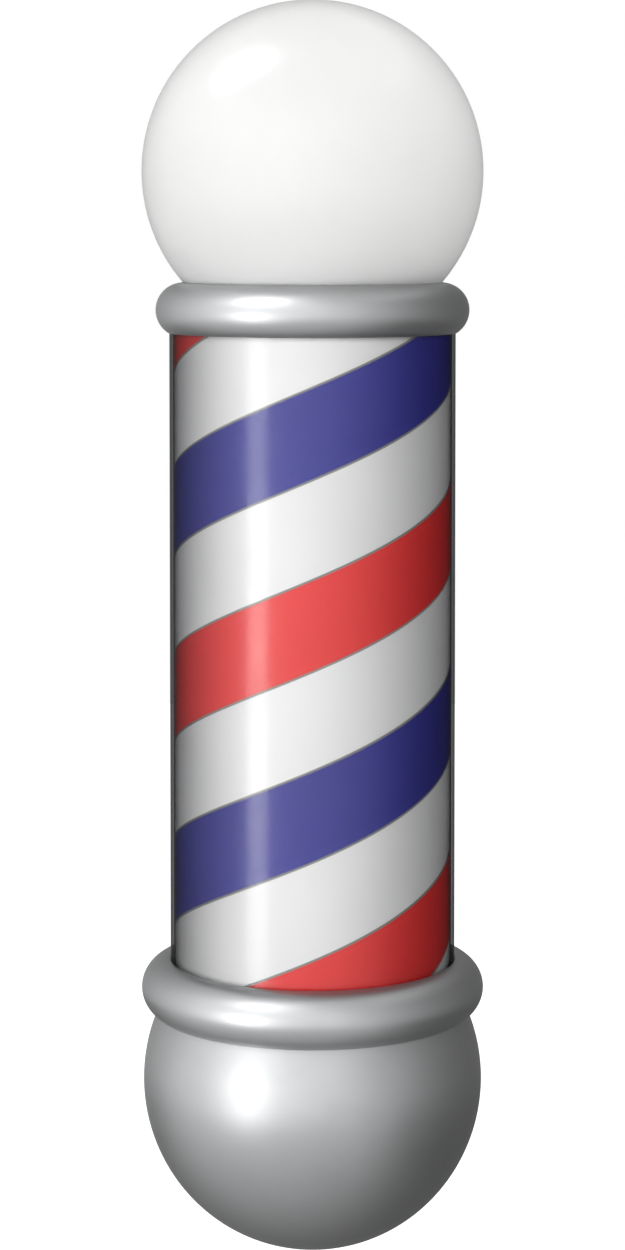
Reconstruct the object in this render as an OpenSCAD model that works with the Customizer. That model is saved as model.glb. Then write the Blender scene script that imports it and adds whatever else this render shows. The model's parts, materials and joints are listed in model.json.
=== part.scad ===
// Wall-hung barber pole: opal globe, turning striped drum in a clear tube, polished end rings and bowl.
// Origin on the wall, level with the middle of the tube. +Z is up and the front faces -Y.

/* [Tube and rings] */
// Outside diameter of the clear tube
tube_od = 168; // [160:1:176]
// Wall of the clear tube
tube_wall = 2; // [1.5:0.5:3]
// Height between the middle planes of the two rings
ring_spacing = 400; // [340:10:500]
// Outside diameter of the upper ring
upper_ring_od = 184; // [180:1:190]
// Radius of the upper ring's round bead
upper_bead_r = 16; // [14:0.5:18]
// Outside diameter of the lower ring
lower_ring_od = 202; // [198:1:208]
// Radius of the lower ring's round bead
lower_bead_r = 17; // [15:0.5:19]
// Distance from the lower ring's middle plane to the shelf that the tube stands on
shelf_offset = 7; // [5:0.5:9]
// Thickness of the lower ring's inner flange
lower_flange_t = 6; // [4:0.5:8]
// Inside radius of the lower ring's flange
lower_flange_r = 70; // [64:1:74]
// Thickness of the two tube gaskets
gasket_t = 1; // [0.5:0.5:2]
// Thickness of the two steel end plates
plate_t = 3; // [2:0.5:4]

/* [Globe and bowl] */
// Outside diameter of the globe
globe_od = 200; // [192:1:208]
// Wall of the globe
globe_wall = 3; // [2:0.5:4]
// Outside diameter of the globe's neck
globe_neck_od = 124; // [118:1:126]
// Outside diameter of the bowl
bowl_od = 200; // [198:1:206]
// Wall of the spun bowl
bowl_wall = 1.2; // [0.8:0.2:2]
// Depth of the bowl's centre below the lower ring's middle plane
bowl_drop = 54.7; // [50:0.1:58]
// Outside radius of the bowl's neck
bowl_neck_r = 88; // [86:0.5:89]
// Angle that the globe turns between locked and free
globe_travel = 45; // [40:1:50]

/* [Drum and drive] */
// Wall of the opal drum
drum_wall = 1.6; // [1.2:0.2:2.4]
// Air gap between the drum and the clear tube
drum_gap = 1; // [0.8:0.1:2]
// Height that one stripe climbs in a full turn
stripe_lead = 217; // [180:1:260]
// Height of one coloured stripe
stripe_width = 53.5; // [30:0.5:60]
// Height of the red stripe's middle at the front of the drum
stripe_phase = 24; // [0:1:60]
// Thickness of the stripe film
film_t = 0.25; // [0.2:0.05:0.4]
// Gear module of the drive
gear_module = 1.5; // [1.4:0.05:1.6]
// Teeth on the drum gear
gear_teeth = 40; // [36:2:44]
// Teeth on the motor pinion
pinion_teeth = 16; // [14:2:18]
// Face width of the drum gear
gear_w = 6; // [4:0.5:8]
// Play between the meshed teeth
gear_backlash = 0.24; // [0.2:0.02:0.3]

/* [Centre tube and light] */
// Outside diameter of the centre tube
centre_od = 16; // [14:1:18]
// Wall of the centre tube
centre_wall = 1.5; // [1:0.25:2]
// Width of the square light column
column_w = 24; // [22:1:28]
// Height of the light column
column_h = 300; // [260:10:320]
// Light chips on each side of the column
chips_per_side = 10; // [6:1:14]

/* [Wall mount] */
// Distance from the wall to the pole's axis
axis_off = 150; // [145:1:180]
// Distance from the pole's axis to the rings' rear pads
pad_face = 102; // [102:0.5:108]
// Width of the pads and of the arms' front ends
pad_w = 44; // [40:1:50]
// Height of the pads and arms
arm_h = 30; // [28:1:34]
// Wall of the cast arms
arm_wall = 4; // [3:0.5:5]
// Width of the wall channel
channel_w = 50; // [46:1:54]
// Depth of the wall channel
channel_d = 16; // [14:1:18]
// Sheet thickness of the wall channel
channel_t = 3; // [2:0.5:4]
// Length that the channel runs past each ring's middle plane
channel_over = 28; // [22:1:40]
// Width between the wall fixing holes
fixing_x = 26; // [22:1:30]
// Height between the wall fixing holes
fixing_z = 300; // [240:10:320]
// Radius of the wall fixing holes
fixing_r = 3.25; // [2.75:0.25:4]
// Radius of the cable's way through the grommet
cable_r = 5; // [3.5:0.5:6]

/* [Fits] */
// Gap round parts that are laid in by hand
slip = 0.3; // [0.2:0.05:0.5]
// Radial clearance of turning fits
run_gap = 0.05; // [0.03:0.01:0.08]
// Gap between the globe or bowl and its dished seat
seat_gap = 0.5; // [0.4:0.1:0.8]
// Gap between a screw and the thread that holds it
thread_gap = 0.02; // [0.01:0.01:0.04]

/* [Hidden] */
$fn = 96;
eps = 0.01;
polished = "silver";
steel = "lightgray";
zinc = "darkgray";
opal = "white";

// Tube, rings and end plates
tube_r = tube_od / 2;
tube_in_r = tube_r - tube_wall;
upper_c = upper_ring_od / 2 - upper_bead_r;
lower_c = lower_ring_od / 2 - lower_bead_r;
upper_z = ring_spacing / 2;
lower_z = -ring_spacing / 2;
lower_shelf_z = lower_z + shelf_offset;
base_top = lower_shelf_z - lower_flange_t;
base_bottom = base_top - plate_t;
plate_r = tube_in_r - 2;
plate_screws = 6;
m4_r = 2;
m4_head_r = 3.8;
m4_head_h = 2.2;

// Globe, its fitter and its seat
globe_r = globe_od / 2;
globe_z = upper_z + upper_bead_r + sqrt(globe_r * globe_r - upper_c * upper_c);
neck_r = globe_neck_od / 2;
neck_h = 6.93;
neck_bottom = globe_z - sqrt(globe_r * globe_r - neck_r * neck_r) - neck_h;
lug_reach = 2.5;
lug_h = 2.2;
lug_arc = 24;
lug_count = 3;
fitter_floor_t = 2;
fitter_in_r = neck_r + lug_reach + slip * 2;
fitter_wall = 2.2;
fitter_out_r = fitter_in_r + fitter_wall;
fitter_hole_r = neck_r - 12;
cap_top = neck_bottom - fitter_floor_t - slip * 2;
cap_bottom = cap_top - plate_t;
upper_shelf_z = cap_top;
fitter_gap = 2.08;
fitter_h = globe_z - sqrt(globe_r * globe_r - fitter_in_r * fitter_in_r) - fitter_gap - cap_top;
cap_screw_r = (fitter_out_r + plate_r) / 2;
cap_screw_bite = 7;
base_screw_bite = 5;
lug_z = neck_bottom + 0.5;
collar_z = lug_z + lug_h + slip;
collar_t = 2;
globe_gasket_r = 2;
globe_gasket_c = upper_c - 2;
globe_gasket_z = globe_z - sqrt(pow(globe_r + globe_gasket_r + run_gap, 2) - pow(globe_gasket_c, 2));

// Bowl
bowl_r = bowl_od / 2;
bowl_z = lower_z - bowl_drop;
base_r = bowl_neck_r - 4;
base_screw_r = (lower_flange_r + base_r) / 2;
bowl_join_z = bowl_z + sqrt(bowl_r * bowl_r - bowl_neck_r * bowl_neck_r);
bowl_rim_z = base_top - slip;
bowl_screw_z = (bowl_rim_z + bowl_join_z) / 2;
bowl_screw_angles = [15, 60, 120, 165];
bowl_head_seat = 6;

// Centre tube and what runs on it, from the base plate upwards
centre_r = centre_od / 2;
thrust_collar_h = 8.4;
thrust_washer_t = 1.5;
thrust_gap = 0.1;
bush_wall = 3;
bush_r = centre_r + bush_wall;
bush_flange_r = bush_r + 3;
bush_flange_t = 1.5;
thrust_top = base_top + thrust_collar_h + thrust_washer_t;
bush_z = thrust_top + thrust_gap;
gear_z = bush_z + bush_flange_t;
hub_boss_z = gear_z + gear_w;
hub_boss_r = bush_r + 9;
hub_web_z = hub_boss_z + 5.5;
hub_web_t = 3;
hub_boss_h = 13;
tie_washer_r = centre_r + 6.5;
tie_washer_t = 2;
tie_nut_af = centre_od + 8;
tie_nut_h = 8;
centre_bottom = base_bottom - tie_washer_t - tie_nut_h - 2;
centre_top = cap_top + tie_washer_t + tie_nut_h + 3;

// Lamp holder and bulb
holder_r = 19;
holder_h = 40;
bulb_cap_r = 13;
bulb_cap_h = 24;
bulb_r = 30;
holder_z = centre_top - 2.5;
bulb_cap_z = holder_z + holder_h - bulb_cap_h + 1;

// Drum
drum_r = tube_in_r - drum_gap;
drum_in_r = drum_r - drum_wall;
drum_bottom = gear_z - 2.5;
drum_top = cap_bottom - 2;
rim_wall = 4;
rim_h = 18;
rim_in_r = drum_in_r - rim_wall;
glue_gap = 0.05;
upper_web_z = drum_top - 9;
spokes = 6;
spoke_hole_c = (rim_in_r + hub_boss_r) / 2;
spoke_hole_r = (rim_in_r - hub_boss_r) / 2 - 6;
stripe_step = 6;
film_in_r = drum_r / cos(stripe_step / 2) + 0.02;
film_out_r = film_in_r + film_t;
stripe_margin = 1;
front_angle = -90;

// Gears
pressure_angle = 20;
pinion_x = gear_module * (gear_teeth + pinion_teeth) / 2;
pinion_w = gear_w + 1;
pinion_z = gear_z - 0.5;
pinion_hub_h = 6;
pinion_hub_r = 7;
shaft_r = 3;
flank_steps = 4;
gear_screw_c = bush_r + 5;
gear_screw_count = 3;

// Motor, driver and terminals under the base plate
motor_r = pinion_x - tie_washer_r - 2.5;
motor_h = 24;
motor_boss_r = 6;
ear_c = motor_r + 5;
ear_r = 5;
ear_t = 1.5;
m3_r = 1.5;
driver_size = [28, 62, 20];
driver_x = -(tie_nut_af / 2 + 6 + driver_size[0] / 2);
driver_ear = 6;
terminal_size = [30, 14, 12];
terminal_y = 56;

// Light column
column_bottom = -column_h / 2;
strip_w = 12;
strip_t = 1;
chip_w = 5;
chip_t = 0.9;
chip_pitch = column_h / (chips_per_side + 0.5);
collar_h = 7;
collar_r = centre_r + 5;

// Wall mount
channel_end = upper_z + channel_over;
seat_y = -channel_d - slip;
pad_y = pad_face - axis_off;
arm_back_y = -1.5;
fork_in = channel_w / 2 + slip;
fork_out = fork_in + arm_wall;
cavity_w = pad_w - 2 * arm_wall;
cavity_h = arm_h - 2 * arm_wall;
arm_front_t = 5;
cavity_y = pad_y + arm_front_t;
m5_r = 2.5;
m5_head_r = 4.25;
m5_head_h = 5;
head_gap = 0.75;
bolt_x = cavity_w / 2 - m5_head_r - head_gap;
bolt_rise = cavity_h / 2 - m5_head_r - head_gap;
bolt_depth = 12;
side_y = -channel_d / 2 - 1;
wire_r = 4;
wire_drop = 5.5;
grommet_lip = 2;

// Switches in the lower arm's underside
switch_x = 8.2;
switch_y = (seat_y + cavity_y) / 2;
switch_w = 13;
switch_l = 19;
switch_top = 13;
bezel_w = 15;
bezel_l = 21;
bezel_t = 1.5;
rocker_w = 9.4;
rocker_r = 8.6;
rocker_tilt = 10;
rocker_pocket_r = rocker_r + 0.5;
rocker_pin_r = 1;
switch_floor = lower_z - arm_h / 2;
rocker_z = switch_floor + 0.5;

// Moves a piece drawn round its own axis onto the pole's axis
module at_pole() {
    translate([0, -axis_off, 0]) children();
}

// Round sleeve from z0 to z1
module sleeve(r_out, r_in, z0, z1) {
    translate([0, 0, z0]) difference() {
        cylinder(r = r_out, h = z1 - z0);
        translate([0, 0, -eps]) cylinder(r = r_in, h = z1 - z0 + 2 * eps);
    }
}

// Cylinder from z0 to z1
module rod(r, z0, z1) {
    translate([0, 0, z0]) cylinder(r = r, h = z1 - z0);
}

// Cylinder along Y from y0 to y1
module rod_y(r, x, z, y0, y1) {
    translate([x, y0, z]) rotate([-90, 0, 0]) cylinder(r = r, h = y1 - y0);
}

// Children copied round the axis
module around(count, start = 0) {
    for (i = [0:count - 1]) rotate([0, 0, start + i * 360 / count]) children();
}

// Points of an arc
function arc(r, a0, a1, n) = [for (i = [0:n]) let (a = a0 + (a1 - a0) * i / n) [r * cos(a), r * sin(a)]];

// Points of a rectangle with rounded corners, centred on the origin
function rounded_points(w, h, r, n = 5) = [
    for (c = [[1, 1, 0], [-1, 1, 90], [-1, -1, 180], [1, -1, 270]])
        for (p = arc(r, c[2], c[2] + 90, n)) [c[0] * (w / 2 - r) + p[0], c[1] * (h / 2 - r) + p[1]]
];

// Part of a sleeve between two angles
module sleeve_arc(r_out, r_in, z0, z1, a0, a1) {
    intersection() {
        sleeve(r_out, r_in, z0, z1);
        translate([0, 0, z0 - 1]) linear_extrude(z1 - z0 + 2)
            polygon(concat([[0, 0]], arc(r_out * 1.5, a0, a1, 4)));
    }
}

// Round bar bent to a ring
module torus(c, r, z) {
    rotate_extrude() translate([c, z]) circle(r = r);
}

// Hexagonal nut with a plain bore
module hex_nut(af, bore_r, h) {
    difference() {
        cylinder(r = af / 2 / cos(30), h = h, $fn = 6);
        translate([0, 0, -eps]) cylinder(r = bore_r, h = h + 2 * eps);
    }
}

// Screw along +Z with its head's underside at z = 0 and a hexagon socket
module cap_screw(r, length, head_r, head_h) {
    difference() {
        union() {
            translate([0, 0, -head_h]) cylinder(r = head_r, h = head_h);
            translate([0, 0, -eps]) cylinder(r = r, h = length + eps);
        }
        translate([0, 0, -head_h - eps]) cylinder(r = head_r * 0.5, h = head_h * 0.55, $fn = 6);
    }
}

// Countersunk screw along +Z with its head's flat face at z = 0
module flat_screw(r, length, head_r) {
    difference() {
        union() {
            cylinder(r1 = head_r, r2 = r, h = head_r - r);
            cylinder(r = r, h = length);
        }
        translate([0, 0, -eps]) cylinder(r = r * 0.7, h = r, $fn = 6);
    }
}

// Places of the screws in an end plate
module at_plate_screws(r) {
    around(plate_screws, 30) translate([r, 0, 0]) children();
}

// Rear pad of a ring with its rounded corners
module ring_pad(z) {
    translate([0, pad_face, z]) rotate([90, 0, 0])
        linear_extrude(pad_face - tube_in_r) polygon(rounded_points(pad_w, arm_h, 5));
}

// Threaded holes in a ring's rear pad
module pad_threads(z) {
    for (x = [-bolt_x, bolt_x])
        rod_y(m5_r + thread_gap, x, z + bolt_rise, pad_face - bolt_depth, pad_face + 1);
}

module upper_ring() {
    color(polished) at_pole() difference() {
        union() {
            torus(upper_c, upper_bead_r, upper_z);
            ring_pad(upper_z);
        }
        translate([0, 0, globe_z]) sphere(r = globe_r + seat_gap);
        rod(fitter_out_r + slip, upper_z - upper_bead_r - 1, globe_z);
        rod(tube_r + slip, upper_z - upper_bead_r - 1, upper_shelf_z);
        torus(globe_gasket_c, globe_gasket_r + thread_gap, globe_gasket_z);
        at_plate_screws(cap_screw_r) rod(m4_r + thread_gap, upper_shelf_z - 1, upper_shelf_z + cap_screw_bite + 1);
        pad_threads(upper_z);
    }
}

module lower_ring() {
    color(polished) at_pole() difference() {
        union() {
            torus(lower_c, lower_bead_r, lower_z);
            ring_pad(lower_z);
            rod(lower_c, base_top, lower_shelf_z);
        }
        rod(lower_flange_r, base_top - 1, lower_shelf_z + 1);
        rod(tube_r + slip, lower_shelf_z, lower_z + lower_bead_r + 1);
        rod(bowl_neck_r + slip, lower_z - lower_bead_r - 1, base_top);
        translate([0, 0, bowl_z]) sphere(r = bowl_r + seat_gap);
        at_plate_screws(base_screw_r) rod(m4_r + thread_gap, base_top - 1, lower_shelf_z + 1);
        pad_threads(lower_z);
        rod_y(wire_r, 0, lower_z - wire_drop, lower_flange_r, pad_face + 1);
        translate([-lower_ring_od, pad_face, lower_z - arm_h]) cube([2 * lower_ring_od, lower_ring_od, 2 * arm_h]);
        at_bowl_screws() translate([0, 0, -1])
            cylinder(r = m4_r + slip / 2, h = lower_ring_od);
        at_bowl_screws() translate([0, 0, bowl_head_seat])
            cylinder(r = m4_head_r + slip, h = lower_ring_od);
    }
}

// Places of the bowl's screws, with +Z turned to point out from the neck
module at_bowl_screws() {
    for (a = bowl_screw_angles)
        rotate([0, 0, a]) translate([bowl_neck_r - bowl_wall, 0, bowl_screw_z]) rotate([0, 90, 0]) children();
}

module outer_tube() {
    color("lightcyan", 0.3) at_pole()
        sleeve(tube_r, tube_in_r, lower_shelf_z + gasket_t, upper_shelf_z - gasket_t);
}

module upper_gasket() {
    color("dimgray") at_pole() sleeve(tube_r, tube_in_r, upper_shelf_z - gasket_t, upper_shelf_z);
}

module lower_gasket() {
    color("dimgray") at_pole() sleeve(tube_r, tube_in_r, lower_shelf_z, lower_shelf_z + gasket_t);
}

module cap_plate() {
    color(zinc) at_pole() difference() {
        rod(plate_r, cap_bottom, cap_top);
        rod(centre_r + slip, cap_bottom - 1, cap_top + 1);
        at_plate_screws(cap_screw_r) translate([0, 0, cap_bottom]) {
            translate([0, 0, -eps]) cylinder(r = m4_r + slip / 2, h = plate_t + 1);
            translate([0, 0, -eps]) cylinder(r1 = m4_head_r + slip / 2, r2 = m4_r, h = m4_head_r - m4_r + slip / 2);
        }
        at_fitter_screws() rod(m4_r + thread_gap, cap_bottom - 1, cap_top + 1);
        around(2) translate([spoke_hole_c / 2 + 6, 0, 0]) rod(6, cap_bottom - 1, cap_top + 1);
    }
}

module cap_plate_screws() {
    color(steel) at_pole() at_plate_screws(cap_screw_r) translate([0, 0, cap_bottom])
        flat_screw(m4_r, plate_t + cap_screw_bite, m4_head_r);
}

module base_plate() {
    color(zinc) at_pole() difference() {
        rod(base_r, base_bottom, base_top);
        rod(centre_r + slip, base_bottom - 1, base_top + 1);
        at_plate_screws(base_screw_r) rod(m4_r + slip / 2, base_bottom - 1, base_top + 1);
        translate([pinion_x, 0, 0]) rod(motor_boss_r + slip, base_bottom - 1, base_top + 1);
        at_motor_screws() rod(m3_r + thread_gap, base_bottom - 1, base_top + 1);
        at_driver_screws() rod(m3_r + thread_gap, base_bottom - 1, base_top + 1);
        around(2, 90) translate([spoke_hole_c / 2 + 6, 0, 0]) rod(6, base_bottom - 1, base_top + 1);
    }
}

module base_plate_screws() {
    color(steel) at_pole() at_plate_screws(base_screw_r) translate([0, 0, base_bottom])
        cap_screw(m4_r, plate_t + base_screw_bite, m4_head_r, m4_head_h);
}

module centre_tube() {
    color(steel) at_pole() sleeve(centre_r, centre_r - centre_wall, centre_bottom, centre_top);
}

module tie_washers() {
    color(zinc) at_pole() {
        sleeve(tie_washer_r, centre_r + thread_gap, cap_top, cap_top + tie_washer_t);
        sleeve(tie_washer_r, centre_r + thread_gap, base_bottom - tie_washer_t, base_bottom);
    }
}

module tie_nuts() {
    color(zinc) at_pole() {
        translate([0, 0, cap_top + tie_washer_t]) hex_nut(tie_nut_af, centre_r + thread_gap, tie_nut_h);
        translate([0, 0, base_bottom - tie_washer_t - tie_nut_h])
            hex_nut(tie_nut_af, centre_r + thread_gap, tie_nut_h);
    }
}

// Places of the screws that hold the fitter
module at_fitter_screws() {
    around(4, 45) translate([neck_r - 8, 0, 0]) children();
}

// The globe's lugs lie under the collar. Turned through the travel they meet its gaps and the globe lifts out.
module globe_fitter() {
    lug_half = lug_arc / 2;
    gap_half = lug_half + 4;
    stop_arc = 4;
    color(zinc) at_pole() difference() {
        union() {
            sleeve(fitter_out_r, fitter_hole_r, cap_top, cap_top + fitter_floor_t);
            sleeve(fitter_out_r, fitter_in_r, cap_top, cap_top + fitter_h);
            around(lug_count) {
                sleeve_arc(fitter_in_r + 1, neck_r + slip, collar_z, collar_z + collar_t,
                    globe_travel + gap_half - 360 / lug_count, globe_travel - gap_half);
                sleeve_arc(fitter_in_r + 1, neck_r + slip, cap_top + 1, collar_z + 1,
                    -lug_half - 1 - stop_arc, -lug_half - 1);
            }
        }
        at_fitter_screws() rod(m4_r + slip / 2, cap_top - 1, cap_top + fitter_floor_t + 1);
    }
}

module fitter_screws() {
    color(steel) at_pole() at_fitter_screws() translate([0, 0, cap_top + fitter_floor_t])
        mirror([0, 0, 1]) cap_screw(m4_r, fitter_floor_t + plate_t, m4_head_r, m4_head_h);
}

module globe_gasket() {
    color("whitesmoke") at_pole() torus(globe_gasket_c, globe_gasket_r, globe_gasket_z);
}

module globe() {
    color(opal) at_pole() difference() {
        union() {
            translate([0, 0, globe_z]) sphere(r = globe_r);
            rod(neck_r, neck_bottom, upper_z + upper_bead_r);
            around(lug_count)
                sleeve_arc(neck_r + lug_reach, neck_r - 1, lug_z, lug_z + lug_h, -lug_arc / 2, lug_arc / 2);
        }
        translate([0, 0, globe_z]) sphere(r = globe_r - globe_wall);
        rod(neck_r - globe_wall, globe_z - globe_r - 1, upper_z + upper_bead_r);
    }
}

// Ceramic lamp holder on the top end of the centre tube
module lamp_holder() {
    color("ivory") at_pole() difference() {
        rotate_extrude() polygon([
            [0, holder_z], [holder_r - 5, holder_z], [holder_r - 5, holder_z + 5],
            [holder_r, holder_z + 12], [holder_r, holder_z + holder_h], [0, holder_z + holder_h]
        ]);
        rod(centre_r + thread_gap, holder_z - 1, centre_top);
        rod(3, holder_z, bulb_cap_z);
        rod(bulb_cap_r + slip, bulb_cap_z, holder_z + holder_h + 1);
    }
}

// Bulb with a screw cap, a flared neck and a round crown
module bulb() {
    crown_z = bulb_cap_z + bulb_cap_h + 36;
    color("floralwhite") at_pole() union() {
        rod(bulb_cap_r, bulb_cap_z + slip, bulb_cap_z + bulb_cap_h);
        translate([0, 0, bulb_cap_z + bulb_cap_h - 1]) cylinder(r1 = bulb_cap_r, r2 = bulb_r * 0.86, h = 22);
        translate([0, 0, crown_z]) sphere(r = bulb_r);
    }
}

module bowl() {
    color(polished) at_pole() difference() {
        union() {
            difference() {
                translate([0, 0, bowl_z]) sphere(r = bowl_r);
                rod(bowl_r + 1, bowl_join_z, bowl_z + bowl_r + 1);
            }
            rod(bowl_neck_r, bowl_join_z - 1, bowl_rim_z);
        }
        translate([0, 0, bowl_z]) sphere(r = bowl_r - bowl_wall);
        rod(bowl_neck_r - bowl_wall, bowl_join_z - 2, bowl_rim_z + 1);
        at_bowl_screws() translate([0, 0, -1]) cylinder(r = m4_r + thread_gap, h = bowl_wall + 2);
        rod_y(wire_r + 1, 0, lower_z - wire_drop, bowl_neck_r - 9, bowl_neck_r + 3);
    }
}

module bowl_screws() {
    color(steel) at_pole() at_bowl_screws() translate([0, 0, bowl_head_seat]) mirror([0, 0, 1])
        cap_screw(m4_r, bowl_head_seat, m4_head_r, m4_head_h);
}

// Places of the motor's two screws
module at_motor_screws() {
    for (side = [-1, 1]) translate([pinion_x, side * ear_c, 0]) children();
}

module gear_motor() {
    color(zinc) at_pole() difference() {
        union() {
            translate([pinion_x, 0, 0]) {
                rod(motor_r, base_bottom - motor_h, base_bottom);
                rod(motor_boss_r, base_bottom, base_top);
            }
            translate([pinion_x, 0, base_bottom - ear_t]) linear_extrude(ear_t)
                polygon(rounded_points(2 * ear_r, 2 * (ear_c + ear_r), ear_r - 1));
        }
        at_motor_screws() rod(m3_r + slip / 2, base_bottom - ear_t - 1, base_bottom + 1);
        translate([pinion_x, 0, 0]) rod(shaft_r + run_gap, base_bottom - 12, base_top + 1);
    }
}

module motor_screws() {
    color(steel) at_pole() at_motor_screws() translate([0, 0, base_bottom - ear_t])
        cap_screw(m3_r, ear_t + plate_t, 2.8, 1.8);
}

module motor_shaft() {
    color(steel) at_pole() translate([pinion_x, 0, 0])
        rod(shaft_r, base_bottom - 11, pinion_z + pinion_w + 1);
}

// Involute of a base circle at a roll angle in degrees
function involute(base_r, roll) = [
    base_r * (cos(roll) + roll * PI / 180 * sin(roll)),
    base_r * (sin(roll) - roll * PI / 180 * cos(roll))
];
function roll_at(base_r, r) = sqrt(pow(r / base_r, 2) - 1) * 180 / PI;
function spin(p, a) = [p[0] * cos(a) - p[1] * sin(a), p[0] * sin(a) + p[1] * cos(a)];
function flipped(p) = [p[0], -p[1]];

// Outline of one tooth centred on +X, from its lower root to its upper root
function tooth_points(teeth, play) =
    let (pitch_r = gear_module * teeth / 2)
    let (base_r = pitch_r * cos(pressure_angle))
    let (root_r = pitch_r - 1.25 * gear_module)
    let (tip_r = pitch_r + gear_module)
    let (swing = tan(pressure_angle) * 180 / PI - pressure_angle)
    let (half = 90 / teeth - play / 4 / pitch_r * 180 / PI + swing)
    let (first = root_r > base_r ? roll_at(base_r, root_r) : 0)
    let (last = roll_at(base_r, tip_r))
    let (flank = [for (i = [0:flank_steps]) involute(base_r, first + (last - first) * i / flank_steps)])
    concat(
        root_r < base_r ? [spin([root_r, 0], -half)] : [],
        [for (p = flank) spin(p, -half)],
        [for (i = [flank_steps:-1:0]) spin(flipped(flank[i]), half)],
        root_r < base_r ? [spin([root_r, 0], half)] : []
    );

// Spur gear outline with a tooth centred at the start angle
function gear_points(teeth, start, play) = [
    for (i = [0:teeth - 1]) for (p = tooth_points(teeth, play)) spin(p, start + i * 360 / teeth)
];

// The gear has a gap, and the pinion a tooth, on the line between their centres
module drive_gear() {
    color("ivory") at_pole() difference() {
        translate([0, 0, gear_z]) linear_extrude(gear_w)
            polygon(gear_points(gear_teeth, 180 / gear_teeth, gear_backlash));
        rod(bush_r + glue_gap, gear_z - 1, gear_z + gear_w + 1);
        around(gear_screw_count) translate([gear_screw_c, 0, 0]) rod(m3_r + slip / 2, gear_z - 1, gear_z + gear_w + 1);
    }
}

module gear_screws() {
    color(steel) at_pole() around(gear_screw_count) translate([gear_screw_c, 0, gear_z])
        cap_screw(m3_r, gear_w + 6, 2, 1.2);
}

module pinion() {
    color("goldenrod") at_pole() translate([pinion_x, 0, 0]) difference() {
        union() {
            translate([0, 0, pinion_z]) linear_extrude(pinion_w)
                polygon(gear_points(pinion_teeth, 0, gear_backlash));
            rod(pinion_hub_r, pinion_z - pinion_hub_h, pinion_z + eps);
        }
        rod(shaft_r + thread_gap, pinion_z - pinion_hub_h - 1, pinion_z + pinion_w + 1);
        translate([0, 0, pinion_z - pinion_hub_h / 2]) rotate([0, 90, 0]) cylinder(r = m3_r + thread_gap, h = pinion_hub_r + 1);
    }
}

module pinion_grub_screw() {
    color(steel) at_pole() translate([pinion_x + shaft_r + thread_gap, 0, pinion_z - pinion_hub_h / 2])
        rotate([0, 90, 0]) difference() {
            cylinder(r = m3_r, h = pinion_hub_r - shaft_r - 0.5);
            translate([0, 0, 1.5]) cylinder(r = 0.9, h = pinion_hub_r, $fn = 6);
        }
}

// Places of the driver's two screws
module at_driver_screws() {
    for (side = [-1, 1])
        translate([driver_x, side * (driver_size[1] / 2 + driver_ear / 2), 0]) children();
}

// Moulded case of the power supply for the light strips, with an ear at each end
module led_driver() {
    color("whitesmoke") at_pole() difference() {
        union() {
            translate([driver_x, 0, base_bottom - driver_size[2]]) linear_extrude(driver_size[2])
                polygon(rounded_points(driver_size[0], driver_size[1], 3));
            translate([driver_x, 0, base_bottom - 2]) linear_extrude(2)
                polygon(rounded_points(12, driver_size[1] + 2 * driver_ear, 3));
        }
        at_driver_screws() rod(m3_r + slip / 2, base_bottom - 3, base_bottom + 1);
    }
}

module driver_screws() {
    color(steel) at_pole() at_driver_screws() translate([0, 0, base_bottom - 2])
        cap_screw(m3_r, 2 + plate_t, 2.8, 1.8);
}

// Terminal block with three wire holes on each side and three screw wells below
module terminal_block() {
    color("ivory") at_pole() translate([0, terminal_y, base_bottom]) difference() {
        translate([0, 0, -terminal_size[2]]) linear_extrude(terminal_size[2])
            polygon(rounded_points(terminal_size[0], terminal_size[1], 1.5));
        for (i = [-1:1]) {
            translate([i * 9, 0, -terminal_size[2] - 1]) cylinder(r = 2.4, h = 6);
            rod_y(1.6, i * 9, -5, -terminal_size[1], terminal_size[1]);
        }
    }
}

module thrust_collar() {
    color(steel) at_pole()
        sleeve(bush_flange_r, centre_r + thread_gap, base_top, base_top + thrust_collar_h);
}

module thrust_washer() {
    color("white") at_pole() sleeve(bush_flange_r, centre_r + slip, base_top + thrust_collar_h, thrust_top);
}

// Square tube over the centre tube, its corners cut off, that carries the light strips
module light_column() {
    color("gainsboro") at_pole() difference() {
        translate([0, 0, column_bottom]) linear_extrude(column_h)
            polygon(rounded_points(column_w, column_w, 2));
        rod(centre_r + slip, column_bottom - 1, column_bottom + column_h + 1);
    }
}

module led_strips() {
    color("whitesmoke") at_pole() around(4) translate([column_w / 2, -strip_w / 2, column_bottom + 2])
        cube([strip_t, strip_w, column_h - 4]);
}

module led_chips() {
    color("lightyellow") at_pole() around(4) for (i = [0:chips_per_side - 1])
        translate([column_w / 2 + strip_t, -chip_w / 2, column_bottom + (i + 0.5) * chip_pitch])
            cube([chip_t, chip_w, chip_w]);
}

module column_collars() {
    color(steel) at_pole() {
        sleeve(collar_r, centre_r + thread_gap, column_bottom - collar_h, column_bottom);
        sleeve(collar_r, centre_r + thread_gap, column_bottom + column_h, column_bottom + column_h + collar_h);
    }
}

module drum_shell() {
    color(opal) at_pole() sleeve(drum_r, drum_in_r, drum_bottom, drum_top);
}

// Corners of a stripe's section at one angle, inner and outer, low and high
function stripe_section(angle, low, high) = [
    for (p = [[film_in_r, low], [film_out_r, low], [film_out_r, high], [film_in_r, high]])
        [p[0] * cos(angle), p[0] * sin(angle), p[1]]
];

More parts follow.
